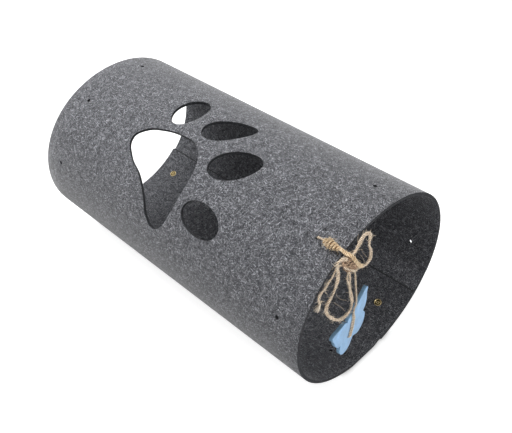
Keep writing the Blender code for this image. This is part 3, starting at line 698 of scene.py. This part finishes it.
def wrap_points():
    """Down over the band, then round the tie towards the hole."""
    middle = tube_point(0, TIE_ARC, TIE_HEIGHT)
    out = (tube_point(0, TIE_ARC, FELT) - tube_point(0, TIE_ARC)).normalized()
    side = out.cross(Vector((1, 0, 0)))
    count = WRAP_TURNS * LOOP_POINTS
    points = []
    for step in range(count + 1):
        turn = TURN * step / LOOP_POINTS
        radius = wrap_radius(step / count) * (1 + WIDTH_UNEVEN * math.sin(WIDTH_BEAT * turn))
        x = WRAP_START - WRAP_PITCH * (step / LOOP_POINTS + PITCH_UNEVEN * math.sin(PITCH_BEAT * turn))
        points.append(Vector((x, middle.y, middle.z)) + (side * math.cos(turn) + out * math.sin(turn)) * radius)
    lead = [points[0] + Vector((TWINE * share, 0, 0)) for share in (1.9, 1.0)]
    return lead + points


def knot_points():
    first = Vector((1, 0, 0))
    second = KNOT_AXIS.cross(first)
    points = []
    for step in range(KNOT_TURNS * LOOP_POINTS + 1):
        turn = math.pi + TURN * step / LOOP_POINTS
        height = KNOT_PITCH * (KNOT_TURNS / 2 - step / LOOP_POINTS)
        spoke = (first * math.cos(turn) - second * math.sin(turn)) * KNOT_RADIUS
        points.append(KNOT_CENTRE + KNOT_AXIS * height + spoke)
    return smooth_route(points)


def winding_strands():
    """The pair over the knot, one of which goes on as the winding, and the winding's core."""
    over = np.array([tuple(point) for point in in_metres(OVER_STRAND)])
    side = unit(np.cross(route_frames(over)[0], OVER_FACES)) * OVER_APART / 2
    middle = tube_point(0, TIE_ARC, TIE_HEIGHT)
    core = [(WRAP_START - WRAP_TURNS * WRAP_PITCH * share, middle.y, middle.z) for share in CORE_SHARES]
    first = smooth_route([*(over + side), *wrap_points()])
    second = smooth_route([*(over - side), *core[:2]])
    return [(first, WRAP_WIDTH / 2), (second, WRAP_WIDTH / 2)], smooth_route(core)


def make_knot():
    winding, core = winding_strands()
    core_widths = [wrap_radius(share) / WRAP_RADIUS for share in CORE_WIDTH_SHARES]
    under = even_route(UNDER_STRAND)
    fill = [(even_route(route), FILL_RADIUS) for route in KNOT_FILL]
    twine_piece("rim_tie_twine", [(rim_tie_points(), TWINE / 2)], 21, ["twine_rim_tie"])
    twine_piece("winding_twine", winding, 22, ["twine_wrap"], material=GOLDEN_JUTE, per_mm=1.5, reach=3.4 * MM)
    twine_piece("winding_core_twine", [(core, CORE_RADIUS, core_widths)], 24, ["twine_wrap"],
                material=DARK_JUTE, per_mm=0.2)
    twine_piece("bow_knot_twine", [(knot_points(), KNOT_WIDTH / 2)], 23, ["bow_knot"], material=SHADED_KNOT_JUTE)
    twine_piece("bow_under_twine", [(under, TWINE / 2)], 26, ["bow_knot"])
    twine_piece("bow_knot_fill_twine", fill, 25, ["bow_knot"], material=SHADED_KNOT_JUTE)


make_knot()

# %% [markdown]
# ## Stray fibres
# Long fibres have come loose from the bow. Most stand out round its loops and tail, and a few
# cross them. They are one piece, apart from the cords, because a cord's width is measured.

# %% Stray fibres
STRAY_REACH = 5.5 * MM
STRAYS_PER_MM = 1.1
STRAY_RADIUS = HAIR_RADIUS * 1.5
WISPS = (
    ((257, -80.6, 181.2), (257, -77.6, 173.0), (257, -71.1, 164.2), (257, -61.6, 155.0)),
    ((257, -84.6, 171.1), (257, -78.1, 161.5), (257, -70.5, 150.8), (257, -64.5, 139.6)),
    ((258, -41.9, 220.3), (258, -37.6, 211.0), (258, -30.3, 199.3)),
    ((258, -44.0, 214.0), (258.6, -39.0, 205.0), (259, -36.5, 197.0), (258.4, -38.0, 192.0)),
    ((252.4, -98.6, 196.4), (253.6, -93.4, 190.6), (254.2, -90.6, 183.6), (256.4, -90.6, 180.0)),
)


def make_strays():
    cells = bmesh.new()
    cells.loops.layers.uv.verify()
    chance = np.random.default_rng(41)
    strands = [(even_route(route), TWINE / 2) for route in (UPPER_LOOP, LOWER_LOOP, TAIL)]
    lay_hairs(cells, *grow_hairs(strands, chance, STRAYS_PER_MM, STRAY_REACH), chance, STRAY_RADIUS)
    for route in WISPS:
        lay_strand(cells, even_route(route), HAIR_RADIUS, chance)
    bmesh.ops.recalc_face_normals(cells, faces=cells.faces)
    finish_piece("stray_fibres", cells, [JUTE], "tunnel")


make_strays()

# %% [markdown]
# ## The toy's string
# The frame's string is two short links with hinges between them. In the picture it is one
# limp twine, so each of these pieces bends smoothly across its hinge instead of kinking. The
# tie goes through the wing to a knot behind it, and lies double where it shows.

# %% Sizes of the string and its tie
WING_HALF_SPAN = 44 * MM
TOY_THICK = 4.5 * MM
TOY_HEAD = Vector((249.7, -41.7, 102.1)) * MM
TOY_SPAN_WAY = Vector((-0.186, 0.971, 0.148)).normalized()
TOY_DOWN_WAY = Vector((-0.013, 0.148, -0.989)).normalized()
TOY_HOLE_SHARE = (-0.235, -0.590)
TOY_HOLE_DIAMETER = 4.0 * MM
TIE_SHARES = ((-0.195, -0.500), (-0.110, -0.340), (-0.025, -0.180), (0.040, -0.020), (0.060, 0.110))
TIE_APART = 1.7 * MM
TIE_ASIDE, TIE_OUT = 0.5, 0.85
SECOND_STRAND = slice(14, -4)
TIE_KNOT_WIDTHS = (0.9, 1.4, 1.65, 1.8, 1.8, 1.65, 1.35, 1.1)
STRING_JOIN = STRING_MIDDLE.lerp(STRING_TOP, 0.3)
STRING_BULGE = Vector((250.5, -35.0, 124.5)) * MM
print("toy's span, mm:", round(2 * WING_HALF_SPAN / MM))

# %% String and tie
def toy_frame():
    """The butterfly's frame: X across its span, Y up its body, Z out of its front face."""
    out = TOY_SPAN_WAY.cross(-TOY_DOWN_WAY).normalized()
    turn = Matrix((TOY_SPAN_WAY, out.cross(TOY_SPAN_WAY), out)).transposed()
    return Matrix.Translation(TOY_HEAD) @ turn.to_4x4()


def on_wing(across, up, height=0.0):
    """A place on the butterfly, from shares of its half span."""
    return Vector((across * WING_HALF_SPAN, up * WING_HALF_SPAN, height))


def string_piece(name, points, seed, node):
    """A stretch of the string, which bends smoothly across its hinge."""
    points = smooth_route(points)
    piece = twine_piece(name, [(points, TWINE / 2)], seed, [node], body=None)
    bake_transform(piece)


def tie_points():
    """Up from a knot behind the wing, through its hole and along its face to the string."""
    place = toy_frame()
    face = TWINE / 2 + GAP
    hole = on_wing(*TOY_HOLE_SHARE)
    bend = (on_wing(*TIE_SHARES[0]) - hole).normalized()
    back = hole - Vector((0, 0, TOY_THICK))
    through = [back, (hole + back) / 2, hole, hole + bend * (TWINE * 0.2) + Vector((0, 0, face + TWINE * 0.1)),
               hole + bend * TWINE + Vector((0, 0, face + TWINE * 0.3))]
    along = [on_wing(*shares, face) for shares in TIE_SHARES]
    route = [place @ point for point in through + along] + [STRING_FOOT]
    way = (route[0] - route[1]).normalized()
    return smooth_route([route[0] + way * TWINE * 1.7, route[0] + way * TWINE * 0.8] + route)


def make_tie():
    """The second strand leaves the first near the hole and joins it again at the string."""
    points = tie_points()
    widths = np.ones(len(points))
    widths[:len(TIE_KNOT_WIDTHS)] = TIE_KNOT_WIDTHS
    out = np.array(toy_frame().col[2].xyz)
    beside = (unit(np.cross(route_frames(points)[0], out)) * TIE_ASIDE + out * TIE_OUT) * TIE_APART
    run = run_along(points)
    ends = (10 * MM, 14 * MM, run[-1] - 12 * MM, run[-1] - 4 * MM)
    second = (points + beside * np.interp(run, ends, (0, 1, 1, 0))[:, None])[SECOND_STRAND]
    twine_piece("toy_tie_twine", [(points, TWINE / 2, widths), (second, TWINE / 2)], 33, ["toy_tie"], "toy")


string_piece("toy_string_high", [Vector(knot_points()[-1]), *in_metres(TOY_LEAD), STRING_TOP, STRING_JOIN], 31,
             "toy_string_upper")
string_piece("toy_string_low", [STRING_JOIN, STRING_MIDDLE, STRING_BULGE, STRING_FOOT], 32,
             "toy_string_lower")
make_tie()

# %% [markdown]
# ## Felt, the material
# Heathered felt is a mat of pale and dark polyester fibres, needled flat. From a step away it
# is a mid grey with short streaks in every direction. The fibres are finer than a pixel, so
# they are drawn about 1 mm wide. The pile scatters light at the edges, which is its sheen. The
# inner face has less pile, and its pale fibres are a little darker, which is painted shade. A cut
# edge is darker and has no streaks: its dark tone is partly the cut's own and partly painted shade.

# %% Felt
FIBRE_LONG, FIBRE_WIDE = 8.0 * MM, 0.85 * MM
FIBRE_TURNS = (12, 58, 103, 151)
GRAIN_WIDE = 1.0 * MM
CLOUD_WIDE = 13 * MM


def felt_material(name, base, light, dark, fibre_share, sheen, speckle, pattern="UV"):
    """Needled felt of mixed fibres, its pattern on the flat sheet's UV or on Object places."""
    material = new_material(name)
    add = partial(add_node, material)
    place = add("TexCoord").outputs[pattern]
    fibres = []
    for turn in FIBRE_TURNS:
        turned = add("Mapping", {"vector_type": "TEXTURE"}, Vector=place, Location=(turn, turn, 0),
                     Rotation=(0, 0, math.radians(turn)), Scale=(FIBRE_LONG, FIBRE_WIDE, FIBRE_WIDE))
        fibres.append(add("TexNoise", Vector=turned, Scale=1.0, Detail=2.0, Roughness=0.6, Distortion=0.4))
    highest = lowest = fibres[0]
    for fibre in fibres[1:]:
        highest = add("Math", LARGER, in0=highest, in1=fibre)
        lowest = add("Math", SMALLER, in0=lowest, in1=fibre)
    spots = []
    for wide, detail in ((GRAIN_WIDE, 2.0), (CLOUD_WIDE, 3.0)):
        spread = add("Mapping", Vector=place, Scale=(1 / wide,) * 3)
        spots.append(add("TexNoise", Vector=spread, Scale=1.0, Detail=detail))
    grain, cloud = spots
    tone = colour(base)
    for fibre, low, high, code in ((highest, 0.57, 0.71, light), (lowest, 0.415, 0.285, dark)):
        share = add("MapRange", SMOOTH, Value=fibre, From_Min=low, From_Max=high, To_Max=fibre_share)
        tone = add("Mix", COLOURS, in0=share, in6=tone, in7=colour(code))
    grained = add("MapRange", Value=grain, From_Min=0.32, From_Max=0.68, To_Min=1 - speckle, To_Max=1 + speckle)
    clouded = add("MapRange", Value=cloud, From_Min=0.3, From_Max=0.7, To_Min=0.86, To_Max=1.14)
    patch = add("Math", TIMES, in0=grained, in1=clouded)
    toned = add("Mix", TINT, in0=1.0, in6=tone, in7=patch)
    lift = add("Math", PLUS, in0=highest, in1=grain)
    bump = add("Bump", Height=lift, Distance=0.5 * MM, Strength=0.5)
    return finish_material(material, Base_Color=toned, Normal=bump, Roughness=0.95,
                           Specular_IOR_Level=0.15, Sheen_Weight=sheen, Sheen_Roughness=0.45)


GREY_FELT = felt_material("needled_grey_felt", "#4f5054", "#b4b5bb", "#131316", 1.0, 0.40, 0.9)
# Inner face: its pale fibres are a little darker, as painted shade.
INNER_FELT = felt_material("inner_face_of_felt", "#4f5054", "#a2a3a8", "#151518", 1.0, 0.10, 0.75)
# Cut edge: its dark tone is partly the cut's own and partly painted shade.
SHADED_CUT_EDGE = felt_material("cut_edge_of_felt_and_painted_shade", "#2c2d30", "#4a4b4f", "#1a1a1c", 0.6, 0.1, 0.4, "Object")
BLUE_FELT = felt_material("needled_blue_felt", "#9dc3e8", "#b2d4f4", "#88b0d8", 0.5, 0.3, 0.06)
BLUE_EDGE = felt_material("cut_edge_of_blue_felt", "#98c2e4", "#aad2f2", "#82aed0", 0.5, 0.1, 0.1, "Object")
print("felt fibre as drawn, mm:", round(FIBRE_LONG / MM, 1), "by", round(FIBRE_WIDE / MM, 2))

# %% [markdown]
# ## Felt, the shape
# The real tunnel is die-cut flat and then rolled, and it is made here the same way: outlines
# on a flat sheet are filled, given the felt's thickness and softened at the cuts. The sheet is
# then creased every 3 mm and rolled. It is two pieces, because its outer end peels open. The
# inner end is skived, cut on a slant, so its dark cut face shows inside as the lap's fine dark
# line, which is painted shade of the gap between the layers.

# %% Places of the openings
PAW_SPAN = 200 * MM
PAW_X = 0 * MM
PAW_ARC = 55 * MM
PAD_SHARES = (
    (-0.505, 0.110), (-0.460, 0.025), (-0.330, -0.045), (-0.175, -0.075), (-0.040, -0.065),
    (0.050, 0.000), (0.105, 0.115), (0.110, 0.245), (0.090, 0.415), (0.040, 0.525),
    (-0.030, 0.560), (-0.100, 0.515), (-0.170, 0.405), (-0.275, 0.300), (-0.420, 0.220),
)
TOES = (
    (-0.310, -0.270, 0.150, 0.103, 93, 0.0), (0.049, -0.284, 0.185, 0.101, 141, 0.20),
    (0.310, -0.073, 0.180, 0.112, 145, 0.05), (0.333, 0.328, 0.163, 0.103, 5, 0.0),
)
STUD_PLACE = 5
STUD_SETBACK = 33 * MM
STUD_ARC = 66 * MM
STUD_RADIUS = 5.0 * MM
POCKET_DEPTH = 2.5 * MM
CREASE = 3.0 * MM
RIM_ROUND = 0.65 * MM
RIM_ANGLE = 1.2
EDGE_SLOPE, FLAT_SLOPE = 0.95, 0.9
SHARP_FELT = 32
SKIVE = 1.6 * MM
PEEL_ROOM = 20 * MM
SHEET_FROM = PEEL_LINE + PEEL_ROOM
OUTLINE_STEPS = 12


def add_outline(cells, points, sharp=()):
    """Adds a closed outline through the points, as a ring of edges, soft but at the sharp ones."""
    curve = bpy.data.curves.new("outline", "CURVE")
    curve.dimensions = "2D"
    curve.fill_mode = "NONE"
    curve.resolution_u = OUTLINE_STEPS
    line = curve.splines.new("BEZIER")
    line.bezier_points.add(len(points) - 1)
    line.use_cyclic_u = True
    for index, (knot, point) in enumerate(zip(line.bezier_points, points)):
        knot.co = (point[0], point[1], 0)
        knot.handle_left_type = knot.handle_right_type = "VECTOR" if index in sharp else "AUTO"
    shape = add_object("outline", curve)
    bpy.context.view_layer.update()
    mesh = bpy.data.meshes.new_from_object(shape.evaluated_get(bpy.context.evaluated_depsgraph_get()))
    bpy.data.objects.remove(shape)
    cells.from_mesh(mesh)
    bpy.data.meshes.remove(mesh)


print("paw print, mm:", round(PAW_SPAN / MM), " joint line of the two pieces, mm:", round(SHEET_FROM / MM, 1))

# %% Flat felt with its openings
def cut_circle(cells, along, arc, half_long, half_wide, turn=0, egg_share=0, sides=72):
    """A closed outline: a circle, stretched, made wider at one end, then turned and placed."""
    made = bmesh.ops.create_circle(cells, cap_ends=False, segments=sides, radius=1)["verts"]
    for vert in made:
        vert.co.y *= 1 + egg_share * vert.co.x
    place = Matrix.Translation((along, arc, 0)) @ Matrix.Rotation(math.radians(turn), 4, "Z")
    bmesh.ops.transform(cells, matrix=place @ Matrix.Diagonal((half_long, half_wide, 1, 1)), verts=made)


def on_paw(along, arc):
    return PAW_X + along * PAW_SPAN, PAW_ARC + arc * PAW_SPAN


def cut_paw(cells):
    """Each toe has a centre, two radii, a turn and an egg share. The pad is a soft outline."""
    for along, arc, half_long, half_wide, turn, egg_share in TOES:
        cut_circle(cells, *on_paw(along, arc), half_long * PAW_SPAN, half_wide * PAW_SPAN, turn, egg_share)
    add_outline(cells, [on_paw(*shares) for shares in PAD_SHARES])


def cut_holes(cells):
    for end in (-1, 1):
        for place in range(STUD_PLACE - HOLES_ROUND + 1, STUD_PLACE):
            arc = FIRST_HOLE_ARC + place * HOLE_PITCH
            arc += GIRTH if arc < PEEL_LINE else 0
            cut_circle(cells, end * HOLE_X, arc, HOLE_DIAMETER / 2, HOLE_DIAMETER / 2, sides=28)
        along = end * (TUNNEL_LENGTH / 2 - STUD_SETBACK)
        cut_circle(cells, along, REST_ARC + STUD_ARC, STUD_RADIUS + GAP, STUD_RADIUS + GAP, sides=36)


def felt_outline(cells, arc_from, arc_to):
    scale = Matrix.Diagonal((TUNNEL_LENGTH, arc_to - arc_from, 1, 1))
    place = Matrix.Translation((0, (arc_from + arc_to) / 2, 0))
    bmesh.ops.create_grid(cells, x_segments=1, y_segments=1, size=0.5, matrix=place @ scale)
    bmesh.ops.delete(cells, geom=cells.faces[:], context="FACES_ONLY")


def thicken(cells, thickness, rim_round, edge_slope=EDGE_SLOPE, joint_arc=None, skived_end=None):
    """Fills the outlines, gives them thickness downwards and rounds their rims."""
    bmesh.ops.triangle_fill(cells, use_beauty=True, use_dissolve=False, edges=cells.edges[:], normal=(0, 0, 1))
    grown = bmesh.ops.extrude_face_region(cells, geom=cells.faces[:])["geom"]
    low = [item for item in grown if isinstance(item, bmesh.types.BMVert)]
    bmesh.ops.translate(cells, verts=low, vec=(0, 0, -thickness))
    bmesh.ops.recalc_face_normals(cells, faces=cells.faces)
    rims = []
    for edge in cells.edges:
        one, two = (vert.co for vert in edge.verts)
        corner = len(edge.link_faces) == 2 and edge.calc_face_angle(0) > RIM_ANGLE
        level = abs(one.z - two.z) < thickness / 2
        joined = joint_arc is not None and abs((one.y + two.y) / 2 - joint_arc) < GAP
        if corner and level and not joined:
            rims.append(edge)
    bmesh.ops.bevel(cells, geom=rims, offset=rim_round, offset_type="OFFSET", segments=2, profile=0.5,
                    affect="EDGES", clamp_overlap=True, material=-1)
    uv = cells.loops.layers.uv.verify()
    # The skived face takes the dark cut-edge colour: painted shade of the gap at the lap.
    if skived_end is not None:
        for vert in cells.verts:
            if vert.co.y > skived_end - FELT / 2 and vert.co.z < -thickness / 2:
                vert.co.y -= SKIVE
    for face in cells.faces:
        face.material_index = 1 if abs(face.normal.z) < edge_slope else 0 if face.normal.z > 0 else 2
        for loop in face.loops:
            x, y, z = loop.vert.co
            loop[uv].uv = (x + z, y - z)


# %% Roll the felt
def rolled_felt(name, node, arc_from, arc_to, openings=(), body=None):
    """A stretch of the sheet, cut flat and rolled. The one that reaches the lap is skived."""
    cells = bmesh.new()
    felt_outline(cells, arc_from, arc_to)
    for cut in openings:
        cut(cells)
    inner_end = arc_to == LAP_END
    thicken(cells, FELT, RIM_ROUND, joint_arc=SHEET_FROM, skived_end=arc_to if inner_end else None)
    area = sum(face.calc_area() for face in cells.faces if face.normal.z > FLAT_SLOPE)
    print(name, "flat area, square cm:", round(area * 10000))
    for step in range(1, math.ceil((arc_to - arc_from) / CREASE)):
        bmesh.ops.bisect_plane(cells, geom=cells.verts[:] + cells.edges[:] + cells.faces[:], dist=TINY,
                               plane_co=(0, arc_from + CREASE * step, 0), plane_no=(0, 1, 0))
    places = on_tube([tuple(vert.co) for vert in cells.verts], inner_end)
    for vert, place in zip(cells.verts, places):
        vert.co = place
    piece = finish_piece(name, cells, [GREY_FELT, SHADED_CUT_EDGE, INNER_FELT], body, [node], SHARP_FELT)
    return piece


rolled_felt("felt_wall", "felt_sheet", SHEET_FROM, LAP_END, (cut_paw, cut_holes), "tunnel")
flap = rolled_felt("felt_outer_end", "felt_flap", FLAP_EDGE, SHEET_FROM)
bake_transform(flap)

# %% [markdown]
# ## Brass press studs, the material
# Pressed brass is bright where it is rubbed and browner where it is stained. Its hollows are
# painted a darker brass, which is painted shade. It is a metal, so its colour is in its reflection.

# %% Brass
TARNISH_WIDE = 2.2 * MM


def brass_material(name, bright, brown):
    material = new_material(name)
    add = partial(add_node, material)
    place = add("TexCoord").outputs["Object"]
    spread = add("Mapping", Vector=place, Scale=(1 / TARNISH_WIDE,) * 3)
    stain = add("TexNoise", Vector=spread, Scale=1.0, Detail=4.0)
    share = add("MapRange", Value=stain, From_Min=0.38, From_Max=0.68)
    tone = add("Mix", COLOURS, in0=share, in6=colour(bright), in7=colour(brown))
    rough = add("MapRange", Value=stain, From_Min=0.3, From_Max=0.7, To_Min=0.38, To_Max=0.60)
    bump = add("Bump", Height=stain, Distance=0.05 * MM, Strength=0.4)
    return finish_material(material, Base_Color=tone, Roughness=rough, Normal=bump, Metallic=1.0)


BRASS = brass_material("pressed_brass", "#ecd8a8", "#a8926a")
# Darker brass for the hollow of the ring: painted shade, stained like the rest.
HOLLOW_SHADE_BRASS = brass_material("brass_with_painted_hollow_shade", "#5e5430", "#3c3622")
print("brass patina, mm:", round(TARNISH_WIDE / MM, 1))

# %% [markdown]
# ## Brass press studs, the shape
# A press stud is turned or pressed round one axis, so each part is a profile spun about it.
# The cap and the ring inside show, so they are made finer than the frame's. The socket and
# the stud half stay hidden between the two layers of felt, and the frame's own are kept.

# %% Studs
METAL = 0.6 * MM
CAP_RADIUS = 6.25 * MM
CAP_DOME = 1.6 * MM
POST_RADIUS = 1.8 * MM
FLARE_RADIUS = 2.6 * MM
NIPPLE_WALL = 0.4 * MM
BARREL_RADIUS = 1.6 * MM
BARREL_BORE = 1.2 * MM
EYELET_ROLL = 0.8 * MM
BEAD = 0.5 * MM
HOLLOW = (BARREL_BORE + BEAD * 2, STUD_RADIUS - BEAD * 2)
SPIN_STEPS = 64
INWARD_SLOPE = -0.5
SHARP_BRASS = 50


def turned_piece(name, profile, place, body, node, hollow=(0, 0)):
    """Spins a profile of (radius, height) about the stud's axis. Its hollow is painted darker, as painted shade."""
    cells = bmesh.new()
    chain = [cells.verts.new((radius, 0, height)) for radius, height in profile]
    closed = chain + chain[:1] if profile[0][0] > 0 else chain
    edges = [cells.edges.new(pair) for pair in zip(closed, closed[1:])]
    bmesh.ops.spin(cells, geom=chain + edges, axis=(0, 0, 1), cent=(0, 0, 0), steps=SPIN_STEPS,
                   angle=TURN, use_merge=True)
    bmesh.ops.remove_doubles(cells, verts=cells.verts, dist=TINY)
    bmesh.ops.recalc_face_normals(cells, faces=cells.faces)
    for face in cells.faces:
        middle = face.calc_center_median()
        # Downward faces in the hollow take the darker brass, which is painted shade.
        if face.normal.z < INWARD_SLOPE and hollow[0] < math.hypot(middle.x, middle.y) < hollow[1]:
            face.material_index = 1
    bmesh.ops.transform(cells, matrix=place, verts=cells.verts)
    finish_piece(name, cells, [BRASS, HOLLOW_SHADE_BRASS], body, [node], SHARP_BRASS)


def arc_points(centre, radius, turns, squash=1.0):
    """Places on an arc, as (radius, height)."""
    return [(centre[0] + radius * math.cos(math.radians(turn)),
             centre[1] + radius * squash * math.sin(math.radians(turn))) for turn in turns]


def make_studs():
    sag = STUD_RADIUS ** 2 / (2 * TUBE_RADIUS)
    flare_top = -FELT + POCKET_DEPTH - GAP - sag - METAL - GAP
    flare_foot = flare_top - METAL / 2
    barrel_top = flare_foot - GAP - NIPPLE_WALL - GAP
    roll_top = -2 * FELT - GAP - GAP
    wide, rise = CAP_RADIUS * 0.97, CAP_DOME - METAL / 2
    cap = [(0, GAP + CAP_DOME)] + arc_points((0, GAP + METAL / 2), wide, range(80, -1, -10), rise / wide)
    cap += [(CAP_RADIUS, GAP + METAL * 0.4), (CAP_RADIUS * 0.98, GAP), (POST_RADIUS, GAP), (POST_RADIUS, flare_top),
            (FLARE_RADIUS, flare_top), (FLARE_RADIUS, flare_foot), (0, flare_foot)]
    dish = roll_top - EYELET_ROLL * 0.3
    rim = arc_points((STUD_RADIUS - BEAD, roll_top), BEAD, range(0, -151, -15), EYELET_ROLL / BEAD)
    lip = arc_points((BARREL_BORE + BEAD, dish), BEAD, range(-30, -181, -15), EYELET_ROLL * 0.6 / BEAD)
    ring = [(BARREL_RADIUS, barrel_top), (BARREL_RADIUS, roll_top)] + rim
    ring += [(STUD_RADIUS - BEAD * 2.2, dish), (BARREL_BORE + BEAD * 2.2, dish)] + lip + [(BARREL_BORE, barrel_top)]
    for end, word in ((1, "front"), (-1, "rear")):
        place = tube_frame(end * (TUNNEL_LENGTH / 2 - STUD_SETBACK), REST_ARC + STUD_ARC)
        turned_piece(word + "_stud_cap", cap, place, "seam_flap", word + "_press_cap")
        turned_piece(word + "_stud_ring", ring, place, "tunnel", word + "_press_eyelet", HOLLOW)
        for half_name in ("_press_socket", "_press_stud"):
            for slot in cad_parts[word + half_name].material_slots:
                slot.material = BRASS


make_studs()

# %% [markdown]
# ## The butterfly
# It is cut from thick blue felt, so it is drawn flat like the tunnel: one wing's outline and
# its mirror image, a hole for the string, a thickness, and rims softened by the blade.

# %% Butterfly
WING_SHARES = (
    (0.00, 0.110), (0.14, 0.085), (0.195, 0.005), (0.27, 0.115), (0.50, 0.190), (0.75, 0.262), (0.915, 0.300),
    (0.976, 0.245), (0.925, 0.060), (0.865, -0.230), (0.780, -0.385), (0.635, -0.480), (0.712, -0.620),
    (0.712, -0.790), (0.620, -0.955), (0.440, -1.050), (0.250, -1.050), (0.090, -0.940), (0.00, -0.880),
)
SHARP_POINTS = (2, 11, 18)
TOY_ROUND = 0.6 * MM
WING_EDGE_SLOPE = 0.5


def make_butterfly():
    left = [(-across, up) for across, up in WING_SHARES[-2:0:-1]]
    last = len(WING_SHARES) - 1
    mirrored = tuple(2 * last - index for index in SHARP_POINTS if index < last)
    cells = bmesh.new()
    add_outline(cells, [on_wing(*shares) for shares in [*WING_SHARES, *left]], SHARP_POINTS + mirrored)
    cut_circle(cells, *on_wing(*TOY_HOLE_SHARE).xy, TOY_HOLE_DIAMETER / 2, TOY_HOLE_DIAMETER / 2, sides=32)
    thicken(cells, TOY_THICK, TOY_ROUND, WING_EDGE_SLOPE)
    bmesh.ops.transform(cells, matrix=toy_frame(), verts=cells.verts)
    finish_piece("felt_butterfly", cells, [BLUE_FELT, BLUE_EDGE, BLUE_FELT], "toy", ["butterfly"],
                 SHARP_FELT)


make_butterfly()

# %% [markdown]
# ## Floor and light
# The floor is plain and pale. One wide lamp from above and behind the far end, a small one in
# front of each mouth and a pale sky give soft light. What the camera, a reflection or a clear
# part sees of the sky is plain white, and the floor is lifted towards white there without
# lighting the tunnel more. Where the tunnel touches it, the lift fades, so its shadow stays.

# %% World and floor
SKY_LIGHT = 0.37
FLOOR_LIFT = 0.80
FLOOR_RADIUS = 7.0
FLOOR_BELOW = 0.2 * MM
CONTACT = 6 * MM


def seen_directly(material):
    """1 for what the camera, a reflection or a clear part sees, else 0."""
    path = add_node(material, "LightPath").outputs
    both = add_node(material, "Math", LARGER, in0=path["Is Camera Ray"], in1=path["Is Glossy Ray"])
    return add_node(material, "Math", LARGER, in0=both, in1=path["Is Transmission Ray"])


def make_world():
    world = bpy.data.worlds.new("pale_sky")
    world.use_nodes = True
    bpy.context.scene.world = world
    strength = add_node(world, "MapRange", Value=seen_directly(world), To_Min=SKY_LIGHT, To_Max=1.0)
    fill_sockets(world, world.node_tree.nodes["Background"], {"Color": (1, 1, 1, 1), "Strength": strength})


def make_floor():
    cells = bmesh.new()
    bmesh.ops.create_circle(cells, cap_ends=True, segments=96, radius=FLOOR_RADIUS,
                            matrix=Matrix.Translation((0, 0, -FLOOR_BELOW)))
    material = new_material("pale_paper")
    material.node_tree.nodes.clear()
    add = partial(add_node, material)
    paper = add("BsdfDiffuse", Color=colour("#d0d0d0"))
    open_sky = add("AmbientOcclusion", {"samples": 8}, Distance=CONTACT).outputs["AO"]
    lift = add("Math", TIMES, in0=open_sky, in1=FLOOR_LIFT)
    strength = add("Math", TIMES, in0=seen_directly(material), in1=lift)
    glow = add("Emission", Strength=strength)
    both = add("AddShader", in0=paper, in1=glow)
    add("OutputMaterial", Surface=both)
    finish_piece("floor", cells, [material])


make_world()
make_floor()

# %% Lamps
def add_lamp(name, place, aim, size, power):
    data = bpy.data.lights.new(name, "AREA")
    data.shape = "SQUARE"
    data.size = size
    data.energy = power
    lamp = add_object(name, data)
    way = Vector(aim) - Vector(place)
    lamp.matrix_world = Matrix.Translation(place) @ way.to_track_quat("-Z", "Y").to_matrix().to_4x4()
    print(name, "watts:", power)


add_lamp("wide_lamp", (-0.75, -0.3, 1.8), (-0.05, 0, 0.1), 1.4, 37)
add_lamp("front_lamp", (2.1, 0.0, 0.35), (0.25, 0, 0.13), 0.8, 19)
add_lamp("rear_lamp", (-2.1, 0.0, 0.3), (-0.25, 0, 0.1), 0.8, 7)
bpy.context.scene.view_settings.view_transform = "Standard"
